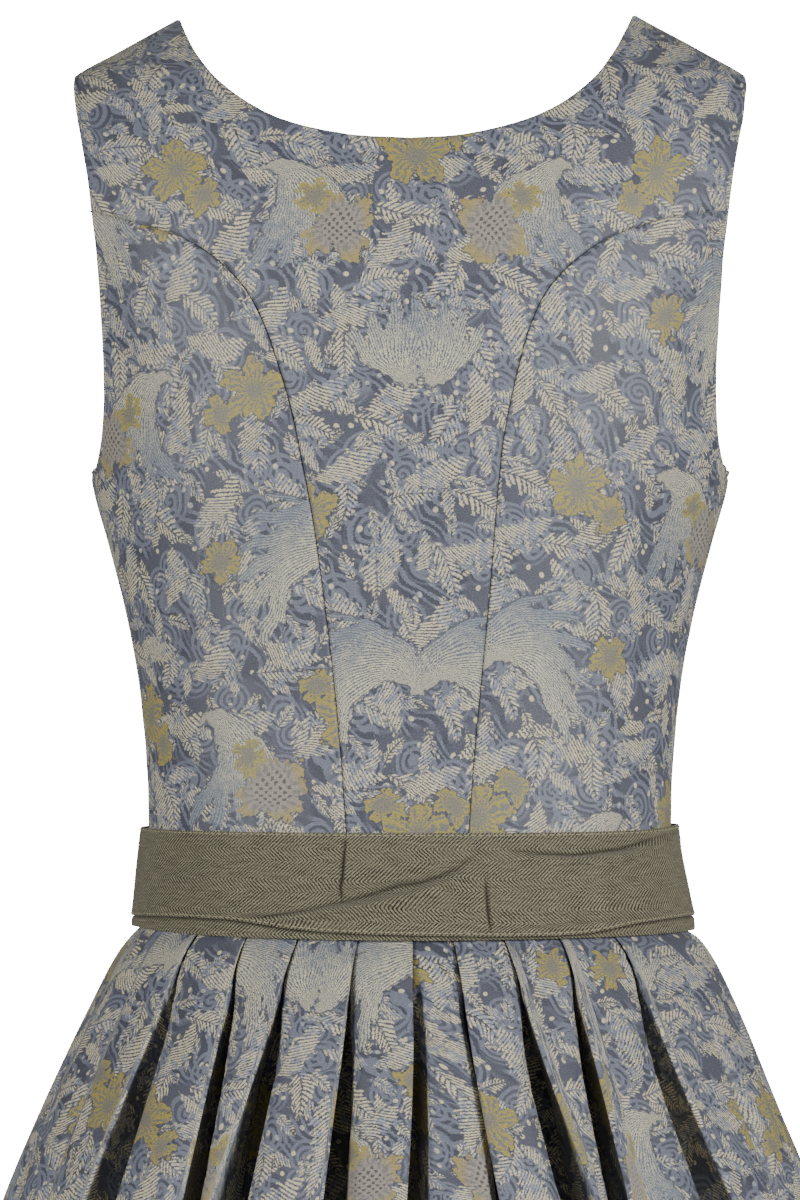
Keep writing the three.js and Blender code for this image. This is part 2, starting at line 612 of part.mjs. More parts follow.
const dress = new THREE.Group();
dress.name = 'folk_dress';
dress.add(backCentrePanel());
dress.add(backSidePanel('back_side_panel_left', 1));
dress.add(backSidePanel('back_side_panel_right', -1));
dress.add(frontCentrePanel('front_centre_panel_left', 1));
dress.add(frontCentrePanel('front_centre_panel_right', -1));
dress.add(frontSidePanel('front_side_panel_left', 1));
dress.add(frontSidePanel('front_side_panel_right', -1));
dress.add(sashUnder());
dress.add(sashOver());

const leftSeam = SIDE_SEAM_FOLDS[0] * POINTS_PER_FOLD + 3;
const rightSeam = SIDE_SEAM_FOLDS[1] * POINTS_PER_FOLD;
dress.add(skirtWidth('skirt_front_width', leftSeam, rightSeam));
dress.add(skirtWidth('skirt_back_width', rightSeam, leftSeam + FOLDS.length * POINTS_PER_FOLD));

const firstButtonZ = -160;
const buttonSpacing = (SASH_TOP_Z + 16 - firstButtonZ) / (BUTTON_COUNT - 1);
for (let i = 0; i < BUTTON_COUNT; i += 1) {
  dress.add(button(`front_button_${i + 1}`, firstButtonZ + i * buttonSpacing));
}

export default dress;
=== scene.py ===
import math

import bpy
import numpy as np
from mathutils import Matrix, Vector


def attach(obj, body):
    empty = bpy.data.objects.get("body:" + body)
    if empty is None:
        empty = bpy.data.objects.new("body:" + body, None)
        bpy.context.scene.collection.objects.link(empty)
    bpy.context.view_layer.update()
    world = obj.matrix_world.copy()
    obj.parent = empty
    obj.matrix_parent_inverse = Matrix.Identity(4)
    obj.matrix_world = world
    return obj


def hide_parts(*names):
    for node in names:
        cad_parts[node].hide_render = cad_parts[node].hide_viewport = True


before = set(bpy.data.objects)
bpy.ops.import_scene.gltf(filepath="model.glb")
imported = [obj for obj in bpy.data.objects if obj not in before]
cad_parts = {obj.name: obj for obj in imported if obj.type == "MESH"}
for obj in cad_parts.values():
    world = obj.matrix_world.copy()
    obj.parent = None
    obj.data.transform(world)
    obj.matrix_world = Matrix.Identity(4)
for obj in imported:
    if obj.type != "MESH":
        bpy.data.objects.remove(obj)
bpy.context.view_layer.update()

# The brocade of bodice and skirt.
# A silk-blend jacquard: slate warp satin, with cream, grey-blue and mustard wefts floated over it.
# The floats catch the light as short parallel strokes, and the ground between shows curling lines.


def linear(hex_colour):
    values = [int(hex_colour[i:i + 2], 16) / 255 for i in (1, 3, 5)]
    curved = [v / 12.92 if v <= 0.04045 else ((v + 0.055) / 1.055) ** 2.4 for v in values]
    return (*curved, 1.0)


def node(tree, kind, inputs=(), **settings):
    made = tree.nodes.new(kind)
    for name, value in settings.items():
        setattr(made, name, value)
    for key, value in dict(inputs).items():
        if isinstance(value, bpy.types.NodeSocket):
            tree.links.new(value, made.inputs[key])
        else:
            made.inputs[key].default_value = value
    return made


class Field:
    """A number all over the cloth, worked out by maths nodes: plain arithmetic on it adds them."""

    def __init__(self, tree, socket):
        self.tree = tree
        self.socket = socket

    def do(self, operation, *others):
        values = [self.socket] + [o.socket if isinstance(o, Field) else o for o in others]
        made = node(self.tree, "ShaderNodeMath", enumerate(values), operation=operation)
        return Field(self.tree, made.outputs[0])

    def __add__(self, other):
        return self.do("ADD", other)

    def __sub__(self, other):
        return self.do("SUBTRACT", other)

    def __mul__(self, other):
        return self.do("MULTIPLY", other)

    def __neg__(self):
        return self.do("MULTIPLY", -1.0)

    def ramp(self, low, high):
        made = node(self.tree, "ShaderNodeMapRange",
                    {"Value": self.socket, "From Min": low, "From Max": high}, clamp=True)
        return Field(self.tree, made.outputs["Result"])


# All sizes of the pattern are millimetres on the cloth
REPEAT_WIDTH = 180.0
REPEAT_HEIGHT = 340.0
MOTIF_EDGE = 0.35
TWILL_PITCH = 1.15
WEFT_PITCH = 1.3
# The pattern wanders slowly from its drawn place, and steps from thread to thread
DRIFT = (9.0, 9.0, 0.0)
THREAD_STEP = (1.7, 1.1, 0.0)
BROCADE_SHEEN = 0.25


def wrapped_cloth(across, down):
    """The place inside one repeat, from its middle: each column of repeats is dropped by half."""
    column = (across * (1 / REPEAT_WIDTH)).do("ROUND")
    local_across = across - column * REPEAT_WIDTH
    dropped = down + column * (REPEAT_HEIGHT / 2)
    row = (dropped * (1 / REPEAT_HEIGHT)).do("ROUND")
    return local_across, dropped - row * REPEAT_HEIGHT


def turned(across, up, centre, degrees):
    """Coordinates about a motif's own centre, along its axis and to the left of it."""
    cos = math.cos(math.radians(degrees))
    sin = math.sin(math.radians(degrees))
    dx = across - centre[0]
    dy = up - centre[1]
    return dx * cos + dy * sin, dy * cos - dx * sin


def polar(along, aside):
    radius = (along * along + aside * aside).do("SQRT")
    return radius, aside.do("ARCTAN2", along)


def plume(across, up, root, degrees, size, twist=0.85, span=0.86):
    """A weeping plume: strands leave the root and curl over together, and end raggedly."""
    along, aside = turned(across, up, root, degrees)
    radius, angle = polar(along, aside)
    reach = radius * (1 / size)
    strand = angle + reach.do("LOGARITHM", math.e) * twist
    tip = ((strand * 21.0).do("FLOOR") * 5.3).do("SINE") * (0.13 * size) + 0.84 * size - radius
    side = (strand.do("ABSOLUTE") * -1.0 + span) * radius
    return tip.do("MINIMUM", side), strand, reach


def blossom(across, up, centre, radius, petals, turn):
    along, aside = turned(across, up, centre, turn)
    distance, angle = polar(along, aside)
    lobe = (angle * (petals / 2)).do("COSINE").do("ABSOLUTE")
    frill = (angle * (petals * 2.5)).do("SINE") * (0.05 * radius)
    rim = lobe.do("POWER", 0.7) * (0.55 * radius) + frill + 0.5 * radius
    return rim - distance, angle, distance


def leaf_field(across, down, cell, length, width, lean, spread, period, chevron, seed):
    """Scattered leaves, one to a cell, each drawn as parallel float strokes that end raggedly."""
    tree = across.tree
    row_offset = seed * 0.37
    column_offset = seed * 0.21
    scatter_x = 0.12 * cell[0]
    scatter_y = 0.12 * cell[1]
    row = (down * (1 / cell[1]) + row_offset).do("FLOOR")
    shift = row * (0.5 * cell[0])
    column = ((across + shift) * (1 / cell[0]) + column_offset).do("FLOOR")
    index = node(tree, "ShaderNodeCombineXYZ",
                 {"X": column.socket, "Y": row.socket, "Z": float(seed)})
    chance = node(tree, "ShaderNodeTexWhiteNoise", {"Vector": index.outputs[0]},
                  noise_dimensions="3D")
    parts = node(tree, "ShaderNodeSeparateColor", {"Color": chance.outputs["Color"]})
    first, second, third = (Field(tree, parts.outputs[i]) for i in range(3))
    dx = across + shift - (column + (0.5 - column_offset)) * cell[0] - (second - 0.5) * scatter_x
    dy = down - (row + (0.5 - row_offset)) * cell[1] - (third - 0.5) * scatter_y
    angle = (first - 0.5) * spread + lean
    cos = angle.do("COSINE")
    sin = angle.do("SINE")
    along = dx * cos + dy * sin
    aside = dy * cos - dx * sin
    aside = aside + along * along * (0.011 if seed % 2 else -0.011)
    slanted = (aside.do("ABSOLUTE") if chevron else aside) * 0.9
    stroke = (along + slanted) * (1 / period)
    stroke_middle = stroke.do("FLOOR") + 0.5
    in_stroke = (stroke - stroke_middle).do("ABSOLUTE")
    reach = (stroke_middle * period - slanted) * (2 / length)
    uneven = (stroke_middle * 2.6 + float(seed)).do("SINE") * (0.09 * width) + 0.41 * width
    inside = (reach * reach * -1.0 + 1.0) * uneven - aside.do("ABSOLUTE")
    if chevron:
        inside = inside.do("MINIMUM", aside.do("ABSOLUTE") - 0.35)
    mask = inside.ramp(-0.2, 0.3) * in_stroke.ramp(0.34, 0.22)
    return mask, inside


def brocade_material(name):
    """Woven silk-blend brocade: a broad soft gloss on the satin ground, duller where floats lie."""
    material = bpy.data.materials.new(name)
    material.use_nodes = True
    tree = material.node_tree
    tree.nodes.clear()
    cloth_map = node(tree, "ShaderNodeUVMap", uv_map="cloth")
    in_millimetres = node(tree, "ShaderNodeVectorMath", {0: cloth_map.outputs[0], 1: (1000, 1000, 0)},
                          operation="MULTIPLY")
    drift = node(tree, "ShaderNodeTexNoise", {"Vector": in_millimetres.outputs[0], "Scale": 0.035,
                                              "Detail": 1.0}, noise_dimensions="2D")
    drift_off = node(tree, "ShaderNodeVectorMath",
                     {0: drift.outputs["Color"], 1: (0.5, 0.5, 0.5)}, operation="SUBTRACT")
    drifted = node(tree, "ShaderNodeVectorMath",
                   {0: drift_off.outputs[0], 1: DRIFT, 2: in_millimetres.outputs[0]},
                   operation="MULTIPLY_ADD")
    # The threads are about half a millimetre thick, and every edge of the pattern steps over them
    threads = node(tree, "ShaderNodeTexNoise", {"Vector": in_millimetres.outputs[0], "Scale": 0.95,
                                                "Detail": 1.0}, noise_dimensions="2D")
    thread_off = node(tree, "ShaderNodeVectorMath",
                      {0: threads.outputs["Color"], 1: (0.5, 0.5, 0.5)}, operation="SUBTRACT")
    stepped = node(tree, "ShaderNodeVectorMath",
                   {0: thread_off.outputs[0], 1: THREAD_STEP, 2: drifted.outputs[0]},
                   operation="MULTIPLY_ADD")
    split = node(tree, "ShaderNodeSeparateXYZ", {0: stepped.outputs[0]})
    across = Field(tree, split.outputs["X"])
    down = Field(tree, split.outputs["Y"])
    local, up = wrapped_cloth(across, down)
    up = -up
    side = local.do("ABSOLUTE")

    # Ground: satin slate, with curls and contour lines in mid blue
    waves = node(tree, "ShaderNodeTexWave",
                 {"Vector": stepped.outputs[0], "Scale": 0.085, "Distortion": 16.0, "Detail": 1.0,
                  "Detail Scale": 0.55}, wave_type="BANDS", bands_direction="DIAGONAL")
    lines = Field(tree, waves.outputs["Fac"]).ramp(0.55, 0.72)
    patches = node(tree, "ShaderNodeTexNoise",
                   {"Vector": drifted.outputs[0], "Scale": 0.05, "Detail": 1.5},
                   noise_dimensions="2D")
    patch = Field(tree, patches.outputs["Fac"]).ramp(0.42, 0.54)
    curls = node(tree, "ShaderNodeTexVoronoi",
                 {"Vector": drifted.outputs[0], "Scale": 0.042, "Randomness": 0.8},
                 voronoi_dimensions="2D")
    curl_offset = node(tree, "ShaderNodeVectorMath",
                       {0: drifted.outputs[0], 1: curls.outputs["Position"]}, operation="SUBTRACT")
    curl_parts = node(tree, "ShaderNodeSeparateXYZ", {0: curl_offset.outputs[0]})
    curl_radius, curl_angle = polar(Field(tree, curl_parts.outputs["X"]),
                                    Field(tree, curl_parts.outputs["Y"]))
    turn = curl_radius * 0.30 + curl_angle * (1 / (2 * math.pi))
    ring = ((turn.do("FRACT") - 0.5).do("ABSOLUTE")).ramp(0.33, 0.21) * curl_radius.ramp(11.5, 9.5)
    blue = (lines * patch).do("MAXIMUM", ring)

    # Leaves and sprigs in cream strokes, each kind with a rim of ground where it lies on another.
    # Each: cell, length, width, lean, spread, stroke spacing, whether in chevrons, seed
    kinds = (
        leaf_field(across, down, (41.0, 38.0), 36.0, 15.5, 0.9, 2.2, 2.1, False, 1),
        leaf_field(across, down, (33.0, 36.0), 31.0, 14.0, -0.9, 2.4, 2.5, True, 2),
        leaf_field(across, down, (28.0, 25.0), 22.0, 8.5, 2.3, 2.0, 2.0, False, 3),
        leaf_field(across, down, (20.0, 22.0), 17.0, 7.0, 0.3, 3.6, 1.8, True, 4),
    )
    dots = node(tree, "ShaderNodeTexVoronoi",
                {"Vector": drifted.outputs[0], "Scale": 0.085, "Randomness": 1.0},
                voronoi_dimensions="2D")
    dot = Field(tree, dots.outputs["Distance"]).ramp(0.125, 0.095)
    leaves, cover = kinds[0]
    for drawn, inside in kinds[1:]:
        leaves = leaves.do("MAXIMUM", drawn * cover.ramp(-0.3, -1.5))
        cover = cover.do("MAXIMUM", inside)
    leaves = leaves.do("MAXIMUM", dot * cover.ramp(-1.0, -2.0))

    # Large motifs, mirrored about the middle of the repeat
    frayed = node(tree, "ShaderNodeTexNoise", {"Vector": in_millimetres.outputs[0], "Scale": 0.23,
                                               "Detail": 2.5}, noise_dimensions="2D")
    fray = Field(tree, frayed.outputs["Fac"]) - 0.5
    first_plume = plume(side, up, (4.0, 36.0), -8.0, 60.0, twist=0.95)
    second_plume = plume(side, up, (79.0, -42.0), -112.0, 54.0, twist=-0.75, span=0.7)
    palm = plume(side, up, (0.5, -152.0), 78.0, 46.0, twist=-0.25, span=0.75)
    # Each: centre, radius, petals, turn
    flowers = (
        blossom(side, up, (0.0, -34.0), 16.0, 5, 90.0),
        blossom(side, up, (16.0, -20.0), 9.0, 4, 15.0),
        blossom(side, up, (57.0, 128.0), 15.5, 5, 20.0),
        blossom(side, up, (72.0, 113.0), 9.5, 4, 70.0),
        blossom(side, up, (71.0, 40.0), 11.0, 5, 50.0),
        blossom(side, up, (52.0, -57.0), 9.0, 5, 35.0),
    )
    fruit, fruit_angle, fruit_reach = blossom(side, up, (38.0, -72.0), 16.5, 4, 60.0)
    fruit = fruit + fray * 14.0 + 1.5
    petals, petal_angle, petal_reach = flowers[0]
    for inside, angle, distance in flowers[1:]:
        nearer = (inside - petals).ramp(-0.1, 0.1)
        petal_angle = petal_angle + (angle - petal_angle) * nearer
        petal_reach = petal_reach + (distance - petal_reach) * nearer
        petals = petals.do("MAXIMUM", inside)
    petals = petals + fray * 11.0
    veins = (petal_angle * 20.0 + fray * 12.0).do("SINE").ramp(-0.5, 0.4)
    veins = veins * petals.ramp(0.8, 3.0)
    veins = veins.do("MAXIMUM", petal_reach.ramp(6.0, 3.0) * 0.8)

    plumes = first_plume[0].do("MAXIMUM", second_plume[0]).do("MAXIMUM", palm[0]) + fray * 7.0
    is_first = (first_plume[0] - second_plume[0]).ramp(-0.1, 0.1)
    is_palm = (palm[0] - first_plume[0].do("MAXIMUM", second_plume[0])).ramp(-0.1, 0.1)
    strand = second_plume[1] + (first_plume[1] - second_plume[1]) * is_first
    strand = strand + (palm[1] - strand) * is_palm
    reach = second_plume[2] + (first_plume[2] - second_plume[2]) * is_first
    reach = reach + (palm[2] - reach) * is_palm
    coarse = (strand * 80.0 + fray * 3.0).do("SINE") * 0.5 + 0.5
    fine = (strand * 160.0 + fray * 3.0).do("SINE") * 0.5 + 0.5
    streak = coarse + (fine - coarse) * reach.ramp(0.45, 0.6)
    creamy = streak.ramp(0.25, 0.75) * (reach + strand * 0.45 + fray * 0.9).ramp(1.02, 0.34)
    shaded = streak.ramp(0.6, 0.2) * 0.85

    motif = plumes.do("MAXIMUM", petals).do("MAXIMUM", fruit)
    leaves = leaves * motif.ramp(-0.2, -1.6)

    # Colours, laid over each other from the ground up. A Mix node's colours are its inputs 6 and 7
    # and its output 2
    def over(below, colour, amount):
        made = node(tree, "ShaderNodeMix", {"Factor": amount.socket, 6: below, 7: colour},
                    data_type="RGBA")
        return made.outputs[2]

    ground = over(linear("#5a5c68"), linear("#4f515c"), patch)
    ground = over(ground, linear("#7e8392"), blue * 0.8)
    # Painted shade: a darker band of ground just round each large motif, standing in for the small
    # shadow at the edge of its raised floats
    ground = over(ground, linear("#50525e"), motif.ramp(-1.4, -0.6) * 0.7)
    plume_colour = over(linear("#8c939c"), linear("#626873"), shaded)
    plume_colour = over(plume_colour, linear("#e2d8b0"), creamy * 0.85)
    cloth = over(ground, plume_colour, plumes.ramp(0.0, MOTIF_EDGE * 3))
    fruit_dots = ((side * 1.5).do("SINE") * (up * 1.5).do("SINE")).ramp(0.2, 0.45)
    fruit_rays = (fruit_angle * 19.0 + fray * 10.0).do("SINE").ramp(-0.4, 0.5)
    fruit_colour = over(linear("#9d958a"), linear("#5f5d5a"),
                        fruit_dots * fruit_reach.ramp(11.0, 8.0))
    fruit_colour = over(fruit_colour, linear("#7d7c7b"), fruit_rays * fruit_reach.ramp(8.0, 11.0))
    fruit_colour = over(fruit_colour, linear("#a8985c"), fruit_reach.ramp(11.0, 16.0) * 0.8)
    cloth = over(cloth, fruit_colour, fruit.ramp(0.0, MOTIF_EDGE * 2))
    petal_colour = over(linear("#a89b55"), linear("#74757a"), veins * 0.85)
    cloth = over(cloth, petal_colour, petals.ramp(0.0, MOTIF_EDGE * 2))
    pale = over(linear("#ded4ae"), linear("#a1a5ae"), (fray * 4.0 + patch - 0.5).ramp(0.2, 0.9))
    cloth = over(cloth, pale, leaves * 0.92)

    # Weave: the satin's twill lines, really 0.3 mm apart, drawn coarser so that they show, and slubs
    twill = ((across + down) * (2 * math.pi / TWILL_PITCH)).do("SINE") * 0.5 + 0.5
    grain = node(tree, "ShaderNodeTexNoise", {"Vector": in_millimetres.outputs[0], "Scale": 1.3,
                                              "Detail": 2.0}, noise_dimensions="2D")
    speckle = Field(tree, grain.outputs["Fac"])
    weft = (down * (2 * math.pi / WEFT_PITCH) + (speckle - 0.5) * 5.0).do("SINE") * 0.05
    shade = twill * 0.12 + speckle + weft + 0.41
    tone = node(tree, "ShaderNodeCombineXYZ",
                {"X": shade.socket, "Y": shade.socket, "Z": shade.socket})
    woven = node(tree, "ShaderNodeMix", {"Factor": 1.0, 6: cloth, 7: tone.outputs[0]},
                 data_type="RGBA", blend_type="MULTIPLY")
    height = twill * 0.4 + speckle
    bump = node(tree, "ShaderNodeBump", {"Height": height.socket, "Strength": 0.35,
                                         "Distance": 0.0003})
    rough = leaves * 0.12 + 0.5
    surface = node(tree, "ShaderNodeBsdfPrincipled",
                   {"Base Color": woven.outputs[2], "Roughness": rough.socket,
                    "Normal": bump.outputs[0], "Sheen Weight": BROCADE_SHEEN, "Sheen Roughness": 0.4,
                    "Specular IOR Level": 0.35})
    output = node(tree, "ShaderNodeOutputMaterial", {"Surface": surface.outputs[0]})
    output.name = "cloth"
    return material


brocade = brocade_material("silk_blend_brocade")

# The bodice panels.
# Seven panels cut from the brocade and sewn with curved seams, so that the cloth follows chest and
# waist. Each edge turns in and leaves a fine groove at the seam; neck and armholes are faced edges.
BODY = {
    "z": (12, 0, -8, -17, -30, -45, -66, -98, -145, -191, -232, -262, -295, -330, -375, -408, -432,
          -460),
    "half_width": (96, 116, 130.5, 146.8, 169.5, 179, 183, 179, 170, 163.5, 160, 152, 143.5, 136.8,
                   132.3, 131.5, 132.4, 136),
    "back": (6, 13, 33, 47, 60, 72, 85, 98, 106, 108, 106, 102, 98, 94, 91, 90, 90.5, 95),
    "front": (6, 13, 32, 46, 57, 67, 76, 84, 93, 101, 104, 103, 100, 95, 89.5, 87.6, 88.6, 95),
    "cup": (0, 0, 0, 0, 0, 0, 0, 0, 3, 11, 18, 18, 12, 5, 0, 0, 0, 0),
}
SQUARENESS = 2.2
CUP_CENTRE_X = 86.0
CUP_SPREAD = 42.0
UNDERARM_Z = -232.0
WAIST_SEAM_Z = -432.0
CLOTH_WALL = 1.2
# Grid places drawn together over the outer millimetres of a panel, where its edge turns in
EDGE_PLACES = (0, 0.5, 1.1, 2.0)
EDGE_WIDTH = 3.0


def read_column(table, key, at, value):
    """A smooth curve through one column of a table, read at places given in another column."""
    keys = np.array(table[key], float)
    values = np.array(table[value], float)
    if keys[0] > keys[-1]:
        keys, values = keys[::-1], values[::-1]
    at = np.asarray(at, float)
    last = len(keys) - 1
    slopes = np.gradient(values, keys)
    for i in range(1, last):
        slopes[i] = (values[i + 1] - values[i - 1]) / (keys[i + 1] - keys[i - 1])
    i = np.clip(np.searchsorted(keys, at) - 1, 0, last - 1)
    span = keys[i + 1] - keys[i]
    t = np.clip((at - keys[i]) / span, 0, 1)
    return ((2 * t**3 - 3 * t**2 + 1) * values[i] + (t**3 - 2 * t**2 + t) * slopes[i] * span
            + (3 * t**2 - 2 * t**3) * values[i + 1] + (t**3 - t**2) * slopes[i + 1] * span)


def smooth(low, high, value):
    t = np.clip((value - low) / (high - low), 0, 1)
    return t * t * (3 - 2 * t)


def ring_point(half_width, half_depth, square, turn, z):
    across = np.sin(turn)
    along = np.cos(turn)
    scale = (np.abs(across) ** square + np.abs(along) ** square) ** (-1 / square)
    return np.stack([half_width * across * scale, half_depth * along * scale,
                     np.broadcast_to(z, np.shape(across * scale))], -1)


def body_point(turn, z):
    turn, z = np.broadcast_arrays(np.asarray(turn, float), np.asarray(z, float))
    is_front = np.cos(turn) < 0
    depth = np.where(is_front, read_column(BODY, "z", z, "front"), read_column(BODY, "z", z, "back"))
    point = ring_point(read_column(BODY, "z", z, "half_width"), depth, SQUARENESS, turn, z)
    from_cup = (np.abs(point[..., 0]) - CUP_CENTRE_X) / CUP_SPREAD
    cup = read_column(BODY, "z", z, "cup") * np.cos(turn) * np.exp(-from_cup**2)
    point[..., 1] += np.where(is_front, cup, 0)
    return point


def body_normal(turn, z):
    around = body_point(turn + 0.01, z) - body_point(turn - 0.01, z)
    down = body_point(turn, z - 0.5) - body_point(turn, z + 0.5)
    normal = np.cross(around, down)
    return normal / np.linalg.norm(normal, axis=-1, keepdims=True)


def turn_at(x, z, is_front):
    share = np.minimum(np.abs(x) / read_column(BODY, "z", z, "half_width"), 1)
    along = (1 - share**SQUARENESS) ** (1 / SQUARENESS)
    turn = np.arctan2(share, np.where(is_front, -along, along))
    return np.where(np.asarray(x) < 0, 2 * np.pi - turn, turn)


def length_along(points, axis):
    """The distance along rows (axis 1) or down columns (axis 0) of points, from the first to each."""
    lengths = np.cumsum(np.linalg.norm(np.diff(points, axis=axis), axis=-1), axis)
    return np.concatenate([np.zeros_like(lengths.take([0], axis)), lengths], axis)


# How far round and how far down the cloth each place on the body lies, for its pattern
MAP_STEP = 4.0
map_turns = np.radians(np.arange(0, 181, 2.0))
map_heights = np.arange(14.0, -470.0, -MAP_STEP)
map_points = body_point(map_turns[None, :], map_heights[:, None])
map_round = length_along(map_points, 1)
map_down = length_along(map_points, 0)
underarm_row = int(np.argmin(np.abs(map_heights - UNDERARM_Z)))
map_down = map_down - map_down[underarm_row:underarm_row + 1, :] - UNDERARM_Z


def cloth_place(turn, z):
    """Millimetres round from centre back (positive to the wearer's left) and down the cloth."""
    wrapped = (turn + np.pi) % (2 * np.pi) - np.pi
    column = np.clip(np.abs(wrapped) / (map_turns[1] - map_turns[0]), 0, len(map_turns) - 1.001)
    row = np.clip((map_heights[0] - z) / MAP_STEP, 0, len(map_heights) - 1.001)
    i, j = row.astype(int), column.astype(int)
    s, t = row - i, column - j
    values = []
    for grid in (map_round, map_down):
        upper = grid[i, j] * (1 - t) + grid[i, j + 1] * t
        lower = grid[i + 1, j] * (1 - t) + grid[i + 1, j + 1] * t
        values.append(upper * (1 - s) + lower * s)
    return np.stack([np.where(wrapped < 0, -values[0], values[0]), values[1]], -1)


# The same edge points as the panels' pattern pieces: x out from the middle, and z
BACK_EDGES = {
    "row": tuple(range(15)),
    "centre_z": (-61.5, -76, -90, -105, -122, -141, -162, -188, -214, -248, -285, -324, -366, -404,
                 -432),
    "left_x": (159.8, 130.5, 110, 93.5, 81.5, 73, 66.5, 59, 54, 48, 43, 38.5, 34.5, 31.8, 30.5),
    "left_z": (-97, -105.5, -113, -124.5, -137.5, -153, -171, -196, -220, -252, -288, -325, -366,
               -404, -432),
    "right_x": (159.8, 130, 110, 92.5, 77.5, 66, 58, 51, 46, 42.5, 39.7, 36, 32, 29.3, 28),
    "right_z": (-97, -101, -107, -115, -127, -141, -160, -187, -213, -248, -285, -324, -366, -404,
                -432),
    "outer_x": (159.8, 157, 155.3, 154, 153.5, 154.2, 155.8, 158.6, 160, 152, 143.5, 136.8, 132.3,
                131.5, 132.4),
    "outer_z": (-97, -120, -144, -166, -187, -204, -216, -227, -232, -262, -295, -330, -375, -408,
                -432),
}
STRAP_EDGES = {
    "row": tuple(range(8)),
    "left_neck_x": (116, 112.2, 106.2, 95.8, 79, 60, 31, 0),
    "left_neck_z": (0, -7.5, -18, -31, -44, -53, -59.5, -61.5),
    "right_neck_x": (112.4, 107.4, 101, 90.6, 74, 54, 27, 0),
    "right_neck_z": (2.1, -6.5, -17.5, -31, -44, -53, -59.5, -61.5),
    "arm_x": (169.5, 169.6, 168.8, 167, 164.4, 162.4, 160.8, 159.8),
    "arm_z": (-30, -34, -41, -52, -65, -77, -88, -97),
}
FRONT_EDGES = {
    "row": tuple(range(20)),
    "inner_x": (116, 116.5, 116, 114, 111, 105, 94, 76, 54, 30, 0, 0, 0, 0, 0, 0, 0, 0, 0, 0),
    "inner_z": (0, -8, -24, -47, -71, -95, -115, -131, -141, -147, -149, -170, -194, -221, -249, -280,
                -313, -365, -404, -432),
    "outer_x": (169.5, 168.4, 164.5, 158.5, 152.5, 148, 145.8, 145.3, 128, 112, 100, 94, 89.5, 85.5,
                81.5, 77, 72.5, 66.5, 63.5, 62.5),
    "outer_z": (-30, -35, -47, -66, -90, -113, -133, -150, -168, -190, -213, -232, -250, -270, -290,
                -312, -336, -378, -408, -432),
}
FRONT_SIDE_EDGES = {
    "row": tuple(range(13)),
    "outer_x": (145.3, 145.8, 148.2, 151.8, 155, 158.2, 160, 152, 143.5, 136.8, 132.3, 131.5, 132.4),
    "outer_z": (-150, -172, -191, -208, -219.5, -228, -232, -262, -295, -330, -375, -408, -432),
}
FRONT_SEAM_ROW = 7
FRONT_OPENING_ROW = 10
FRONT_LAP = 9.0
LAP_LIFT = 1.75


def edge_line(table, x_name, z_name, rows, is_front, sign=1):
    """An edge as turns and heights, at rows counted down the table."""
    x = read_column(table, "row", rows, x_name)
    z = read_column(table, "row", rows, z_name)
    turn = turn_at(x, z, is_front)
    return np.stack([turn if sign > 0 else 2 * np.pi - turn, z], -1)


def spaced(count, length):
    """Places from 0 to 1 over a length in millimetres, closer together near both ends."""
    fine = np.array(EDGE_PLACES) / length
    middle = np.linspace(EDGE_WIDTH / length, 1 - EDGE_WIDTH / length, count)
    return np.concatenate([fine, middle, 1 - fine[::-1]])


def grid_between(first, second, places):
    return first[:, None, :] + (second - first)[:, None, :] * places[None, :, None]


def distance_to(points, line):
    """The distance from each point to a line of close points."""
    result = np.empty(len(points))
    for start in range(0, len(points), 4000):
        gap = points[start:start + 4000, None, :] - line[None, :, :]
        result[start:start + 4000] = np.sqrt((gap**2).sum(-1).min(1))
    return result


def dense(line, step=0.6):
    """A body edge given by turns and heights, as close points in space."""
    points = body_point(line[:, 0], line[:, 1])
    lengths = length_along(points, 0)
    at = np.arange(0, lengths[-1], step)
    return np.stack([np.interp(at, lengths, points[:, i]) for i in range(3)], -1)


def soft_wave(a, b, seed):
    """A slow wandering value between -1 and 1, the same each run."""
    random = np.random.default_rng(seed)
    total = 0
    for _ in range(5):
        angle, phase = random.uniform(0, 2 * np.pi, 2)
        pace = random.uniform(0.6, 1.8)
        total = total + np.sin((a * math.cos(angle) + b * math.sin(angle)) * pace + phase)
    return total / 5


def add_to_scene(name, data):
    made = bpy.data.objects.new(name, data)
    bpy.context.scene.collection.objects.link(made)
    return made


def mesh_from_grids(name, grids, material, cloth_map, pressed=None):
    """One mesh from grids of points that share edges, with its pattern's UV map, in metres, and any
    painted shade as a point attribute.
    """
    points, places, faces = [], [], []
    offset = 0
    for grid, flat in zip(grids, cloth_map):
        rows, columns = grid.shape[:2]
        index = offset + np.arange(rows * columns).reshape(rows, columns)
        quads = np.stack([index[:-1, :-1], index[:-1, 1:], index[1:, 1:], index[1:, :-1]], -1)
        points.append(grid.reshape(-1, 3))
        places.append(flat.reshape(-1, 2))
        faces.append(quads.reshape(-1, 4))
        offset += rows * columns
    points = np.concatenate(points)
    places = np.concatenate(places)
    faces = np.concatenate(faces)
    keys = np.round(points / 0.002).astype(np.int64)
    _, kept, back = np.unique(keys, axis=0, return_index=True, return_inverse=True)
    back = back.reshape(-1)
    merged = back[faces]
    good = [len(set(face)) > 2 for face in merged]
    face_list = []
    corner_places = []
    for face, source in zip(merged[good], faces[good]):
        seen = []
        for vertex, corner in zip(face, source):
            if vertex not in seen:
                seen.append(vertex)
                corner_places.append(places[corner])
        face_list.append(seen)
    mesh = bpy.data.meshes.new(name)
    mesh.from_pydata((points[kept] / 1000).tolist(), [], face_list)
    layer = mesh.uv_layers.new(name="cloth")
    layer.data.foreach_set("uv", (np.array(corner_places) / 1000).ravel())
    # Painted shade: the sash's darkened creases and the shadow line under its outer turn, kept as the
    # point attribute pressed
    if pressed is not None:
        layer = mesh.attributes.new("pressed", "FLOAT", "POINT")
        layer.data.foreach_set("value", pressed.reshape(-1)[kept])
    mesh.shade_smooth()
    mesh.materials.append(material)
    return add_to_scene(name, mesh)


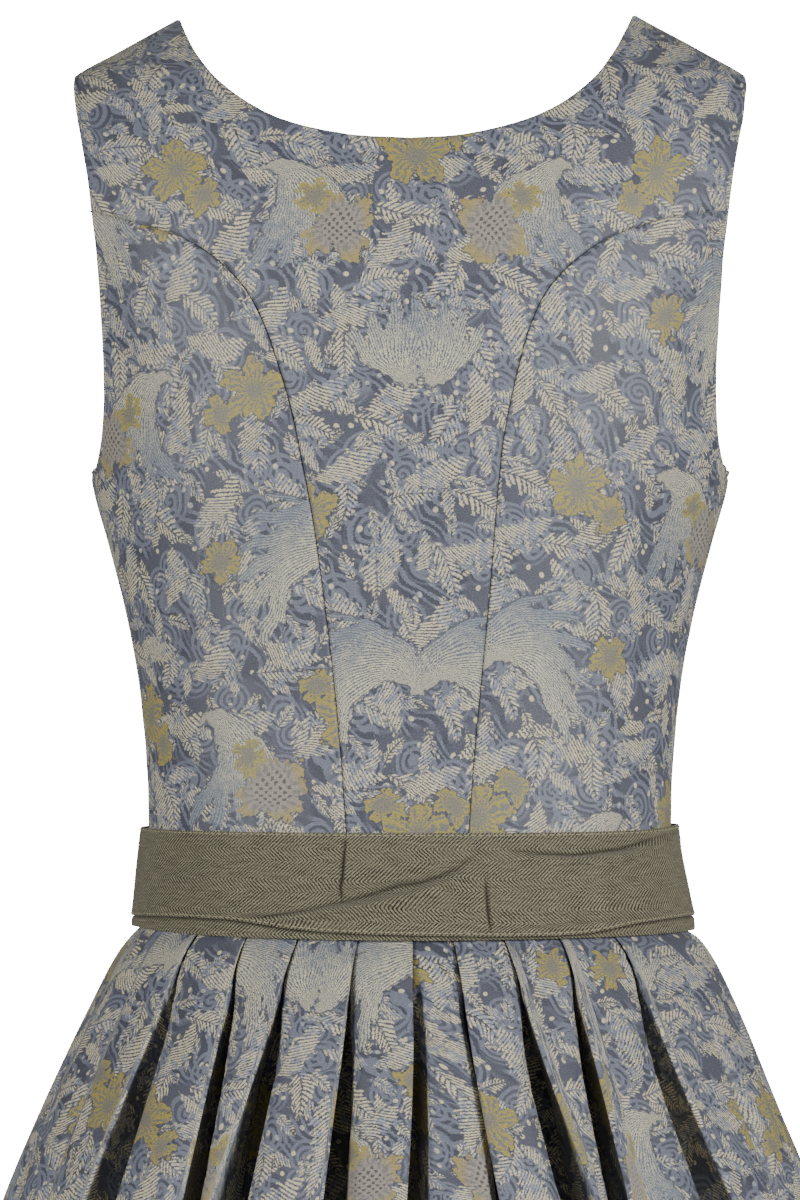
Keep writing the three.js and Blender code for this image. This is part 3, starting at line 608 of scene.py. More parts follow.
def give_wall(piece, thickness):
    wall = piece.modifiers.new("cloth thickness", "SOLIDIFY")
    wall.thickness = thickness / 1000
    wall.offset = -1.0
    wall.use_even_offset = False
    wall.use_quality_normals = True
    return wall


SEAM_ROLL = 1.3
SEAM_ROLL_WIDTH = 0.8
HALF_SEAM_GAP = 0.18
PUCKER = 0.22
PUCKER_REACH = 7.0
EASE = 0.7
EASE_REACH = 25
# Both straps' seam allowances lie under the shoulder line and lift it a little
SHOULDER_LIFT = 1.7
SHOULDER_LIFT_REACH = 20


def bodice_piece(name, grids, edges, shift, tilt=0.0, lift=None, sewn=((True, True),)):
    """A panel of the bodice from its grids of turns and heights, its edges rolled and puckered."""
    edge_points = np.concatenate([dense(line) for line in edges])
    shaped = []
    places = []
    for number, grid in enumerate(grids):
        turn, z = grid[..., 0], grid[..., 1]
        point = body_point(turn, z)
        normal = body_normal(turn, z)
        away = distance_to(point.reshape(-1, 3), edge_points).reshape(turn.shape)
        place = cloth_place(turn, z)
        roll = -SEAM_ROLL * np.exp(-(away / SEAM_ROLL_WIDTH) ** 2)
        pucker = soft_wave(place[..., 0] / 3, place[..., 1] / 3, 11)
        pucker = PUCKER * np.exp(-away / PUCKER_REACH) * pucker
        ease = EASE * soft_wave(place[..., 0] / 32, place[..., 1] / 40, 5)
        out = roll + pucker + ease * np.clip(away / EASE_REACH, 0, 1)
        if lift is not None:
            out = out + lift(point)
        point = point + normal * out[..., None]
        at_shoulder = np.exp(-(point[..., 1] / SHOULDER_LIFT_REACH) ** 2)
        point[..., 2] += SHOULDER_LIFT * at_shoulder * smooth(-75, -25, point[..., 2])
        for column, beside, is_sewn in ((0, 1, sewn[number][0]), (-1, -2, sewn[number][1])):
            inward = point[:, beside] - point[:, column]
            length = np.linalg.norm(inward, axis=-1, keepdims=True)
            if is_sewn:
                point[:, column] += inward * np.minimum(HALF_SEAM_GAP / np.maximum(length, 0.01), 0.8)
        shaped.append(point)
        cos, sin = math.cos(math.radians(tilt)), math.sin(math.radians(tilt))
        turned_place = np.stack([place[..., 0] * cos - place[..., 1] * sin,
                                 place[..., 0] * sin + place[..., 1] * cos], -1)
        places.append(turned_place + np.array(shift))
    piece = mesh_from_grids(name, shaped, brocade, places)
    give_wall(piece, CLOTH_WALL)
    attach(piece, "root")
    return piece


ROWS_PER_STEP = 9


def rows_of(table, first=0):
    last = len(table["row"]) - 1
    return np.linspace(first, last, (last - first) * ROWS_PER_STEP + 1)


def mirrored(line):
    return np.stack([2 * np.pi - line[:, 0], line[:, 1]], -1)


body_rows = rows_of(BACK_EDGES)
strap_rows = rows_of(STRAP_EDGES)
centre_line = np.stack([np.zeros(len(body_rows)),
                        read_column(BACK_EDGES, "row", body_rows, "centre_z")], -1)
neck_lines = {
    "left": edge_line(STRAP_EDGES, "left_neck_x", "left_neck_z", strap_rows, False),
    "right": edge_line(STRAP_EDGES, "right_neck_x", "right_neck_z", strap_rows, False, -1),
}
strap_arm_line = edge_line(STRAP_EDGES, "arm_x", "arm_z", strap_rows, False)
back_seams = {
    "left": edge_line(BACK_EDGES, "left_x", "left_z", body_rows, False),
    "right": edge_line(BACK_EDGES, "right_x", "right_z", body_rows, False, -1),
}
back_outer = edge_line(BACK_EDGES, "outer_x", "outer_z", body_rows, False)
on_side_seam = back_outer[:, 1] <= UNDERARM_Z + 0.01
back_outer[on_side_seam, 0] = np.pi / 2

places = spaced(26, 60.0)
centre_grids = []
for side, sign in (("left", 1), ("right", -1)):
    seam = back_seams[side]
    neck = neck_lines[side]
    arm = strap_arm_line if sign > 0 else mirrored(strap_arm_line)
    if sign > 0:
        centre_grids.append(grid_between(centre_line, seam, places))
        centre_grids.append(grid_between(neck, arm, places))
    else:
        full_turn = centre_line + np.array([2 * np.pi, 0])
        centre_grids.append(grid_between(seam, full_turn, places))
        centre_grids.append(grid_between(arm, neck, places))
back_centre = bodice_piece(
    "brocade_back_centre", centre_grids,
    [back_seams["left"], back_seams["right"], neck_lines["left"], neck_lines["right"], strap_arm_line,
     mirrored(strap_arm_line)], shift=(4.0, -36.0),
    sewn=((False, True), (False, False), (True, False), (False, False)))
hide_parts("back_centre_panel")

places = spaced(38, 100.0)
side_back_shifts = {"left": (-14.0, 21.0), "right": (17.0, -28.0)}
for side, sign in (("left", 1), ("right", -1)):
    outer = back_outer if sign > 0 else mirrored(back_outer)
    seam = back_seams[side]
    grid = grid_between(seam, outer, places) if sign > 0 else grid_between(outer, seam, places)
    panel = bodice_piece(f"brocade_back_side_{side}", [grid], [seam, outer],
                         shift=side_back_shifts[side], tilt=2.5 * sign)
    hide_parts(f"back_side_panel_{side}")

ALLOWANCE_HALF_WIDTH = 7.0
ALLOWANCE_DEPTH = 2.1
ALLOWANCE_WALL = 0.4
BODY_RADIUS = 150


def seam_allowance(name, line):
    """The turned-back edges behind a seam, pressed open: they close the seam to the light."""
    across = np.linspace(-1, 1, 7)
    reach = ALLOWANCE_HALF_WIDTH / BODY_RADIUS
    turn = line[:, 0:1] + across[None, :] * reach
    z = np.repeat(line[:, 1:2], len(across), 1)
    point = body_point(turn, z) - body_normal(turn, z) * ALLOWANCE_DEPTH
    piece = mesh_from_grids(name, [point], brocade, [cloth_place(turn, z)])
    give_wall(piece, ALLOWANCE_WALL)
    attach(piece, "root")
    return piece


allowances = [seam_allowance(f"seam_allowance_back_{side}", line)
              for side, line in back_seams.items()]

# The front panels open down the middle, where the right one laps over the left
NECK_CORNER_IN = 3.6
NECK_CORNER_UP = 2.1
front_rows = rows_of(FRONT_EDGES)
front_outer = edge_line(FRONT_EDGES, "outer_x", "outer_z", front_rows, True)
front_inner = edge_line(FRONT_EDGES, "inner_x", "inner_z", front_rows, True)
opening = front_rows >= FRONT_OPENING_ROW - 0.001
left_inner = front_inner.copy()
left_inner[opening, 0] = turn_at(np.full(opening.sum(), FRONT_LAP), front_inner[opening, 1], True)
# The right strap's neck corner lies further up the shoulder line than the left one's
up_line = np.clip(1 - front_rows, 0, 1) ** 2
inner_x = read_column(FRONT_EDGES, "row", front_rows, "inner_x")
right_inner_x = inner_x - NECK_CORNER_IN * up_line
right_inner_z = front_inner[:, 1] + NECK_CORNER_UP * up_line
right_inner = mirrored(np.stack([turn_at(right_inner_x, right_inner_z, True), right_inner_z], -1))
right_inner[opening, 0] = left_inner[opening, 0]
blend = np.clip((front_rows - (FRONT_OPENING_ROW - 1)), 0, 1)
near_opening = (front_rows > FRONT_OPENING_ROW - 1) & (~opening)
lap = FRONT_LAP * blend[near_opening] ** 2
left_inner[near_opening, 0] = turn_at(inner_x[near_opening] + lap, left_inner[near_opening, 1], True)
right_inner[near_opening, 0] = turn_at(-inner_x[near_opening] + lap,
                                       right_inner[near_opening, 1], True)
LAP_START_X = -24
LAP_SLOPE_END = 1.5


def lap_lift(point):
    return LAP_LIFT * smooth(LAP_START_X, -FRONT_LAP - LAP_SLOPE_END, point[..., 0])


places = spaced(36, 100.0)
left_front = bodice_piece("brocade_front_centre_left",
                          [grid_between(front_outer, left_inner, places)],
                          [front_outer, left_inner], shift=(6.0, 12.0))
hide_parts("front_centre_panel_left")
right_front = bodice_piece("brocade_front_centre_right",
                           [grid_between(right_inner, mirrored(front_outer), places)],
                           [mirrored(front_outer), right_inner], shift=(-9.0, 12.0), lift=lap_lift)
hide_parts("front_centre_panel_right")

side_rows = rows_of(FRONT_SIDE_EDGES)
front_side_outer = edge_line(FRONT_SIDE_EDGES, "outer_x", "outer_z", side_rows, True)
front_side_outer[front_side_outer[:, 1] <= UNDERARM_Z + 0.01, 0] = np.pi / 2
front_seam = edge_line(FRONT_EDGES, "outer_x", "outer_z", side_rows + FRONT_SEAM_ROW, True)
places = spaced(30, 90.0)
for side, sign in (("left", 1), ("right", -1)):
    if sign > 0:
        grid = grid_between(front_side_outer, front_seam, places)
    else:
        grid = grid_between(mirrored(front_seam), mirrored(front_side_outer), places)
    edges = [front_side_outer, front_seam]
    edges = edges if sign > 0 else [mirrored(line) for line in edges]
    panel = bodice_piece(f"brocade_front_side_{side}", [grid], edges, shift=(11.0 * sign, -17.0))
    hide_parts(f"front_side_panel_{side}")

front_seam_line = front_outer[front_rows >= FRONT_SEAM_ROW]
allowance = seam_allowance("seam_allowance_front_left", front_seam_line)
allowance = seam_allowance("seam_allowance_front_right", mirrored(front_seam_line))
side_heights = np.linspace(UNDERARM_Z - 1, WAIST_SEAM_Z, 60)
for side, turn in (("left", 0.5 * np.pi), ("right", 1.5 * np.pi)):
    line = np.stack([np.full(len(side_heights), turn), side_heights], -1)
    allowance = seam_allowance(f"seam_allowance_side_{side}", line)

# The skirt.
# Widths of the same brocade, folded into knife pleats that face centre back on the back half and
# centre front on the front half, pressed at the waist and falling open towards the hem.
SKIRT = {
    "z": (-432.3, -446, -455, -460, -466, -474, -492, -516, -553, -590, -660, -770, -910, -1058),
    "half_width": (134.2, 135.6, 136.5, 141.2, 146, 151, 160.2, 172, 189, 204.5, 229, 264, 306,
                   344),
    "half_depth": (92.8, 95, 95.9, 97.6, 104.2, 111, 123, 137, 157, 175, 203, 241, 286, 326),
    "square": (2.2, 2.2, 2.2, 2.2, 2.18, 2.15, 2.12, 2.1, 2.08, 2.06, 2.04, 2.03, 2.02, 2.02),
    "deep": (6.6, 7, 7.6, 8.2, 9.4, 11, 14, 18, 22, 25, 27, 29, 31, 32),
    "tuck": (8, 8, 7.3, 6.8, 5.8, 4.5, 1.5, -1, -3, -4.5, -6, -8, -10, -12),
    "round": (2.4, 2.4, 2.5, 2.6, 2.8, 3, 3.4, 4, 4.6, 5, 5.5, 6, 6.5, 7),
}
FOLDS = {
    "sash": (-0.4, 10.8, 23.3, 34.9, 48.5, 61.5, 76, 91, 106, 120, 135, 150, 166, 195, 210, 225, 240,
             255, 270, 285, 300.7, 315.2, 328.8, 340.7, 351.1),
    "low": (1, 13.3, 28.9, 34.2, 53, 60.5, 76, 92, 106, 122, 135, 151, 167, 194, 209, 226, 239, 254,
            269, 284, 298.6, 307.5, 327.6, 332.6, 346.2),
    "side": (1, 1, 1, 1, 1, -1, -1, -1, -1, -1, -1, -1, -1, 1, 1, 1, 1, 1, 1, 1, 1, -1, -1, -1, -1),
    "open": (7, 2, 5, -1, 6, 0, 1, 3, 0, 4, 1, 3, 5, 5, 2, 3, 0, 4, 1, 2, 3, 6, 0, 5, 0),
}
SIDE_FOLDS = (7, 18)
FOLD_TOP_Z = -459.0
FOLD_LOW_Z = -590.0
HEM_Z = -1058.0
SKIRT_CLOTH_WIDTH = 3.6
SKIRT_WALL = 1.0
SKIRT_SEAM_INSET = 0.12
HALF_WALL = 0.6
RIGHT_BULGE = 4.0
FOLD_SWAY = 0.5
PANEL_SWELL = 0.9
# A fold's return slants back under its panel, and more at the sides of the skirt
RETURN_SLANT = 5
SIDE_SLANT = 15
# The hidden part of a panel bends more, so its points lie closer together
HIDDEN_BEND = 1.8
# Where the pleats fall open, a panel comes out from under its neighbour within a few millimetres
OPEN_ROUNDING = 2.6
# Between two folds that face each other, at the sash and lower down: the dark gap beside the panel
# that stands there, the width of the panel's slope, and how far in it stays
DARK_GAP = (3.5, 11.5)
SLOPE_WIDTH = (2.5, 14.5)
PANEL_IN = (3.0, 5.5)
PANEL_POINTS = 16
ARC_POINTS = 5
RETURN_POINTS = 5


def skirt_ring(z, depth_in, turn):
    half_width = read_column(SKIRT, "z", z, "half_width") - depth_in
    half_depth = read_column(SKIRT, "z", z, "half_depth") - depth_in
    point = ring_point(half_width, half_depth, read_column(SKIRT, "z", z, "square"), turn, z)
    # The gathered waist stands out further on the wearer's right
    bulge = smooth(455, 462, -np.asarray(z, float)) * smooth(560, 474, -np.asarray(z, float))
    point[..., 0] -= RIGHT_BULGE * bulge * np.clip(-np.sin(turn), 0, 1) ** 2
    return point


skirt_heights = np.concatenate([
    np.linspace(-432.8, -459, 9)[:-1], np.linspace(-459, -480, 13)[:-1],
    np.linspace(-480, -600, 31)[:-1], np.linspace(-600, HEM_Z, 44)])
envelope = np.stack([read_column(SKIRT, "z", skirt_heights, "half_width"), skirt_heights], -1)
down_cloth = length_along(envelope, 0)
fold_count = len(FOLDS["side"])
cloth_per_fold = SKIRT_CLOTH_WIDTH * 1000 / fold_count


def fold_level(z):
    """What every fold has at one height: its depth, how far it is still pressed, its edge's shape."""
    sink = 1 + 0.3 * float(smooth(455, 472, -z)) + 0.6 * float(smooth(468, 550, -z))
    tuck = float(read_column(SKIRT, "z", z, "tuck"))
    pressed = float(smooth(-2, 5, tuck))
    return {
        "z": z,
        "low": min(max((FOLD_TOP_Z - z) / (FOLD_TOP_Z - FOLD_LOW_Z), 0), 1),
        "deep": float(read_column(SKIRT, "z", z, "deep")) * sink - 2 * HALF_WALL,
        "tuck": tuck,
        "pressed": pressed,
        "roundness": float(read_column(SKIRT, "z", z, "round")) * 0.5,
        "lean": -1.6 + 2.0 * pressed,
    }


def fold_corners(level):
    """Each fold's edge: its turn, millimetres to a radian, its gap, and its reach under its panel."""
    z, low = level["z"], level["low"]
    corners = []
    for i in range(fold_count):
        sway = FOLD_SWAY * math.sin(z / 61 + 2.3 * i) * low
        turn = math.radians(FOLDS["sash"][i] + (FOLDS["low"][i] - FOLDS["sash"][i]) * low + sway)
        pair = skirt_ring(z, 0, np.array([turn, turn + 0.01]))
        shift = level["tuck"] - FOLDS["open"][i] * low
        corners.append({"side": FOLDS["side"][i], "turn": turn, "shift": shift,
                        "speed": np.linalg.norm(pair[1] - pair[0]) / 0.01,
                        "gap": max(-1.25 * shift, 0)})
    # Each return slants back under its own panel, as far as the panel's width leaves room
    for i, corner in enumerate(corners):
        beside = corners[(i + corner["side"]) % fold_count]
        same_way = beside["side"] == corner["side"]
        away = (beside["turn"] - corner["turn"] + math.pi) % (2 * math.pi) - math.pi
        width = abs(away) * corner["speed"] - (beside["gap"] if same_way else 0)
        slant = RETURN_SLANT + SIDE_SLANT * min(1, 1.3 * abs(math.sin(corner["turn"])))
        slant = slant * float(smooth(470, 560, -z))
        room = (0.5 if same_way else 0.4) * width
        corner["under"] = min(max(corner["shift"], slant), max(corner["shift"], room))
    return corners


def folded_edge(corner, level):
    """From a fold's round outer edge back under its panel to the round inner edge."""
    side, edge, speed = corner["side"], corner["turn"], corner["speed"]
    roundness = level["roundness"]
    valley = edge + side * corner["under"] / speed
    arc = np.linspace(0, 1, ARC_POINTS)
    tip = 0.5 * roundness / speed
    lean_turn = side * level["lean"] / speed
    edge_turns = edge + lean_turn * arc - side * tip * np.sin(np.pi * arc) * 0.8
    edge_depths = HALF_WALL + roundness * (1 - np.cos(np.pi * arc)) / 2
    valley_turns = valley - lean_turn * (1 - arc) + side * tip * np.sin(np.pi * arc) * 0.8
    valley_depths = HALF_WALL + level["deep"] - roundness * (1 + np.cos(np.pi * arc)) / 2
    inner = np.linspace(0, 1, RETURN_POINTS + 2)[1:-1]
    return_turns = edge_turns[-1] + (valley_turns[0] - edge_turns[-1]) * inner
    return_depths = edge_depths[-1] + (valley_depths[0] - edge_depths[-1]) * smooth(0, 1, inner)
    fold_turns = np.concatenate([edge_turns, return_turns, valley_turns])
    fold_depths = np.concatenate([edge_depths, return_depths, valley_depths])
    if side > 0:
        return fold_turns[::-1], fold_depths[::-1]
    return fold_turns, fold_depths


def panel_between(i, corners, start, level):
    """The panel from one fold to the next, as turns and depths in from the outside."""
    corner = corners[i]
    following = corners[(i + 1) % fold_count]
    low, deep, pressed = level["low"], level["deep"], level["pressed"]
    end = following["turn"] + (2 * math.pi if i + 1 == fold_count else 0)
    if following["side"] > 0:
        end += following["under"] / corner["speed"]
    width = (end - start) * corner["speed"]
    begins_out = corner["side"] > 0
    ends_out = following["side"] < 0
    along = np.linspace(0, 1, PANEL_POINTS + 2)[1:-1]
    if begins_out and not ends_out:
        along = 1 - (1 - along) ** HIDDEN_BEND
    elif ends_out and not begins_out:
        along = along**HIDDEN_BEND
    swell = np.sin(np.pi * along) * PANEL_SWELL * math.sin(level["z"] / 47 + 1.7 * i) * low
    if begins_out and ends_out:
        depths = HALF_WALL + swell * 0.5
    elif not begins_out and not ends_out:
        # The cloth lies just under both folds, and lower down it stands out as a panel of its own
        gap, slope, panel_in = (at_sash + (lower - at_sash) * low
                                for at_sash, lower in (DARK_GAP, SLOPE_WIDTH, PANEL_IN))
        from_start = along * width
        from_end = (1 - along) * width
        flat = (np.minimum(from_start / max(corner["under"], 1.5), 1)
                * np.minimum(from_end / max(following["under"], 1.5), 1)) ** 1.5
        standing = (smooth(0, slope, from_start)
                    * smooth(0.6 * gap, 1.3 * gap, from_end - following["under"]))
        lifted = pressed * 0.75 * deep * flat + (1 - pressed) * (deep - panel_in) * standing
        depths = HALF_WALL + deep - lifted
    else:
        rise = along if ends_out else 1 - along
        hiding = corner if ends_out else following
        mouth = hiding["gap"] + hiding["under"]
        opened = 1 - np.exp(-np.maximum(width * rise - mouth, 0) / OPEN_ROUNDING)
        opened = opened * (1 - 0.12 * (1 - smooth(0, 1, rise)))
        # Under the sash the next panel comes out flat beneath the folded edge, with a thin gap
        out_from = min(max(mouth / width, 0.05), 0.5)
        flat = 0.8 * np.minimum(rise / out_from, 1) ** 1.5 + 0.2 * smooth(out_from, 0.85, rise)
        out = (1 - pressed) * opened + pressed * flat
        depths = HALF_WALL + deep * (1 - out) + swell
    return start + (end - start) * along, depths


def fold_line(z):
    """The cloth at one height, all round, as turns and depths in from the outside."""
    level = fold_level(z)
    corners = fold_corners(level)
    turns, depths = [], []
    for i, corner in enumerate(corners):
        fold_turns, fold_depths = folded_edge(corner, level)
        panel_turns, panel_depths = panel_between(i, corners, fold_turns[-1], level)
        turns += [fold_turns, panel_turns]
        depths += [fold_depths, panel_depths]
    return np.concatenate(turns), np.maximum(np.concatenate(depths), HALF_WALL)


edge_points = 2 * ARC_POINTS + RETURN_POINTS
points_per_fold = edge_points + PANEL_POINTS
skirt_grid = []
for z in skirt_heights:
    turns, depths = fold_line(z)
    skirt_grid.append(skirt_ring(np.full(len(turns), z), depths, turns))
skirt_grid = np.array(skirt_grid)
closed = np.concatenate([skirt_grid, skirt_grid[:, :1]], 1)
around_cloth = length_along(closed, 1)

# Each fold keeps its own threads from waist to hem: its edge is one thread of the cloth
edge_index = np.array([i * points_per_fold + (0 if side < 0 else edge_points - 1)
                       for i, side in enumerate(FOLDS["side"])])
column_fold = np.searchsorted(edge_index, np.arange(closed.shape[1]), side="right") - 1
column_fold = np.clip(column_fold, 0, None)
edge_lengths = around_cloth[:, edge_index]
near = around_cloth - edge_lengths[:, column_fold]
following_fold = np.minimum(column_fold + 1, fold_count - 1)
to_next = edge_lengths[:, following_fold] - around_cloth
panel_on = np.array(FOLDS["side"])
use_next = (panel_on[following_fold] < 0) & (following_fold > column_fold)
from_this = column_fold * cloth_per_fold + near
from_next = following_fold * cloth_per_fold - to_next
around_place = np.where(use_next[None, :], from_next, from_this)
SKIRT_PATTERN_SHIFT = (20.0, -85.0)
skirt_places = np.stack([around_place + SKIRT_PATTERN_SHIFT[0],
                         np.broadcast_to(down_cloth[:, None], around_place.shape)
                         + SKIRT_PATTERN_SHIFT[1]], -1)

left_seam_column = SIDE_FOLDS[0] * points_per_fold + edge_points - 1
right_seam_column = SIDE_FOLDS[1] * points_per_fold
point_count = skirt_grid.shape[1]
for name, first, last, node_name in (
        ("brocade_skirt_front", left_seam_column, right_seam_column, "skirt_front_width"),
        ("brocade_skirt_back", right_seam_column, left_seam_column + point_count, "skirt_back_width")):
    columns = np.arange(first, last + 1)
    wraps = columns // point_count
    columns = columns % point_count
    grid = skirt_grid[:, columns].copy()
    flat = skirt_places[:, columns].copy()
    flat[..., 0] += wraps[None, :] * fold_count * cloth_per_fold
    grid[:, 0] += (grid[:, 1] - grid[:, 0]) * SKIRT_SEAM_INSET
    grid[:, -1] += (grid[:, -2] - grid[:, -1]) * SKIRT_SEAM_INSET
    piece = mesh_from_grids(name, [grid], brocade, [flat])
    give_wall(piece, SKIRT_WALL)
    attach(piece, "root")
    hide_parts(node_name)
    share = (last - first) / point_count
    SKIRT_CLOTH_WIDTH * share

# The sash.
# One long strip of olive-grey herringbone, wrapped twice round the waist and closed at the front
# with its end lapped. The outer turn is pulled up at the sides and twists into folds at the back.
SASH = {
    "z": (-399, -405.5, -417, -430, -444, -457, -463),
    "half_width": (135.2, 135.6, 136.9, 138.3, 139.5, 140.6, 141),
    "depth": (93.2, 93.6, 95, 97, 98.8, 100.4, 101),
}
SASH_EDGE = {
    "turn": (-180, -80, -52, -34, 0, 22, 40, 80, 180),
    "z": (-455, -449, -451, -456.4, -456.4, -454, -449, -449, -455),
}
UNDER_EDGE = {
    "turn": (-180, -80, -40, 0, 40, 80, 180),
    "z": (-458, -456.5, -458, -459, -457.5, -454.5, -458),
}
TOP_EDGE = {
    "turn": (-180, -88, -50, 0, 50, 90, 180),
    "z": (-405.5, -403.6, -405.6, -406, -405.6, -405, -405.5),
}
SASH_TOP_Z = -405.5
SASH_LAYER = 1.65
SASH_WALL = 1.1
SASH_RIGHT_BULGE = 3.2
UNDER_TURN_FLARE = 1.5
SASH_EDGE_ROLL = 0.3
SASH_EDGE_SOFTNESS = 5.0
LOWER_EDGE_OUT = 0.6
SASH_WAVE = 0.35
SASH_LAP_START = 196.0
SASH_LAP_TURN = 24.0

# Creases on the back: x and z along each, width, and how far out or in it stands
SASH_CREASES = (
    {"line": ((84, -452), (60, -449.5), (39, -446.5), (22, -444.2), (8, -440.5), (-4, -437.4),
              (-20, -431), (-33, -425)), "width": 3.4, "out": 4.4, "rise": 2.2},
    {"line": ((58, -445.5), (40, -441.6), (22, -437.2), (6, -432), (-5, -430.6), (-14, -427.8),
              (-24, -423.2), (-32, -417)), "width": 1.3, "out": -1.8, "rise": 0.0},
    {"line": ((56, -437), (20, -429), (-4, -425), (-24, -415)), "width": 3.2, "out": 2.4,
     "rise": -1.0},
    {"line": ((100, -446), (70, -443.5), (44, -440.5)), "width": 2.6, "out": 2.0, "rise": -1.0},
    {"line": ((100, -449.8), (70, -447.6), (46, -444.6)), "width": 1.2, "out": -1.6, "rise": 0.0},
    {"line": ((-50, -414.5), (-68, -416.8), (-82, -417.4), (-104, -415), (-133, -406.5)),
     "width": 1.2, "out": -1.6, "rise": 0.0},
    {"line": ((-50, -419), (-82, -421.3), (-110, -419), (-133, -411)), "width": 2.7, "out": 2.8,
     "rise": 1.6},
    {"line": ((-36, -427), (-62, -433), (-100, -437)), "width": 4.5, "out": -0.9, "rise": 0.0},
    {"line": ((60, -417), (95, -421), (128, -420)), "width": 5.0, "out": -0.9, "rise": 0.0},
    {"line": ((-38, -451.5), (-65, -449.5), (-94, -447), (-126, -444)), "width": 2.6, "out": 2.2,
     "rise": -1.2},
    {"line": ((110, -411), (124, -424), (130, -437)), "width": 4.0, "out": -0.9, "rise": 0.0},
    {"line": ((32, -406), (33.5, -424), (34.5, -441)), "width": 0.7, "out": -1.6, "rise": 0.0},
    {"line": ((-37.5, -428), (-38.5, -443), (-40, -458)), "width": 0.7, "out": -1.6, "rise": 0.0},
)
FRONT_CREASES = (
    {"line": ((-90, -447), (-50, -441), (-10, -436), (30, -430)), "width": 3.0, "out": -1.1,
     "rise": 0.0},
    {"line": ((-100, -416), (-60, -419), (-20, -415)), "width": 2.2, "out": -0.9, "rise": 0.0},
    {"line": ((20, -446), (60, -444), (110, -438)), "width": 3.4, "out": 0.9, "rise": 0.0},
    {"line": ((40, -420), (80, -424), (115, -419)), "width": 2.0, "out": -0.8, "rise": 0.0},
)


def crease_relief(point, creases):
    """Soft troughs and ridges along listed lines, fading to both ends of each."""
    relief = np.zeros(point.shape[:-1])
    rise = np.zeros(point.shape[:-1])
    pressed = np.zeros(point.shape[:-1])
    for crease in creases:
        line = np.array(crease["line"], float)
        best = np.full(point.shape[:-1], 1e9)
        place = np.zeros(point.shape[:-1])
        parts = len(line) - 1
        for k in range(parts):
            start, end = line[k], line[k + 1]
            along = end - start
            offset = point[..., (0, 2)] - start
            t = np.clip((offset @ along) / (along @ along), 0, 1)
            gap = np.linalg.norm(offset - t[..., None] * along, axis=-1)
            nearer = gap < best
            best = np.where(nearer, gap, best)
            place = np.where(nearer, (k + t) / parts, place)
        fade = np.clip(np.sin(np.pi * np.clip(place, 0.01, 0.99)), 0, 1) ** 0.4
        # Painted shade: each crease more than 1.5 mm deep also gets a dark line in the value called
        # pressed, which darkens the sash's colour in place of the crease's shadow
        if crease["out"] <= -1.5:
            pressed = np.maximum(pressed, np.exp(-(best / 0.95) ** 2) * fade)
        near_line = np.exp(-(best / crease["width"]) ** 2) * fade
        relief += crease["out"] * near_line
        rise += crease["rise"] * near_line
    return np.stack([relief, rise, pressed], -1)


def sash_point(turn, z, depth_in):
    half_width = read_column(SASH, "z", z, "half_width") - depth_in
    half_depth = read_column(SASH, "z", z, "depth") - depth_in
    point = ring_point(half_width, half_depth, SQUARENESS, turn, z)
    right = np.clip(-np.sin(turn), 0, 1) ** 2
    point[..., 0] -= SASH_RIGHT_BULGE * smooth(412, 456, -z) * right
    return point


# A woven wool and linen herringbone: dull and nubbly, with dark ribs against pale ones
HERRINGBONE_BANDS = (9.0, 15.0)
RIB_PITCH = 2.0
herringbone = bpy.data.materials.new("wool_linen_herringbone")
herringbone.use_nodes = True
tree = herringbone.node_tree
tree.nodes.clear()
cloth_map = node(tree, "ShaderNodeUVMap", uv_map="cloth")
in_millimetres = node(tree, "ShaderNodeVectorMath", {0: cloth_map.outputs[0], 1: (1000, 1000, 0)},
                      operation="MULTIPLY")
unevenness = node(tree, "ShaderNodeTexNoise", {"Vector": in_millimetres.outputs[0], "Scale": 0.09,
                                               "Detail": 3.0}, noise_dimensions="2D")
split = node(tree, "ShaderNodeSeparateXYZ", {0: in_millimetres.outputs[0]})
along = Field(tree, split.outputs["X"])
height = Field(tree, split.outputs["Y"])
wobble = Field(tree, unevenness.outputs["Fac"])
# Rows of twill 9 mm and 6 mm high lean opposite ways; the ribs, really 1 mm apart, are drawn coarser
band = (height * (1 / HERRINGBONE_BANDS[1])).do("FRACT") * HERRINGBONE_BANDS[1]
leaning = (band - HERRINGBONE_BANDS[0]).do("ABSOLUTE") * 1.1
rib = ((along + leaning + wobble * 1.5) * (2 * math.pi / RIB_PITCH)).do("SINE").ramp(-0.6, 0.6)
thread = node(tree, "ShaderNodeTexNoise", {"Vector": in_millimetres.outputs[0], "Scale": 1.6,
                                           "Detail": 2.0}, noise_dimensions="2D")
thread_tone = Field(tree, thread.outputs["Fac"])
stretched = node(tree, "ShaderNodeVectorMath", {0: cloth_map.outputs[0], 1: (90, 900, 0)},
                 operation="MULTIPLY")
slubs = node(tree, "ShaderNodeTexNoise", {"Vector": stretched.outputs[0], "Scale": 1.0,
                                          "Detail": 3.0}, noise_dimensions="2D")
slub = Field(tree, slubs.outputs["Fac"])
rib_share = rib * 0.66 + thread_tone * 1.7 + slub * 0.6 - 1.12
yarn = node(tree, "ShaderNodeMix", {"Factor": rib_share.ramp(0.0, 1.0).socket, 6: linear("#1c1b14"),
                                    7: linear("#a5a086")}, data_type="RGBA")
patchy = node(tree, "ShaderNodeMix", {"Factor": wobble.ramp(0.35, 0.7).socket, 6: yarn.outputs[2],
                                      7: linear("#6f6a56")}, data_type="RGBA")
tint = node(tree, "ShaderNodeMix", {"Factor": 0.3, 6: yarn.outputs[2], 7: patchy.outputs[2]},
            data_type="RGBA")
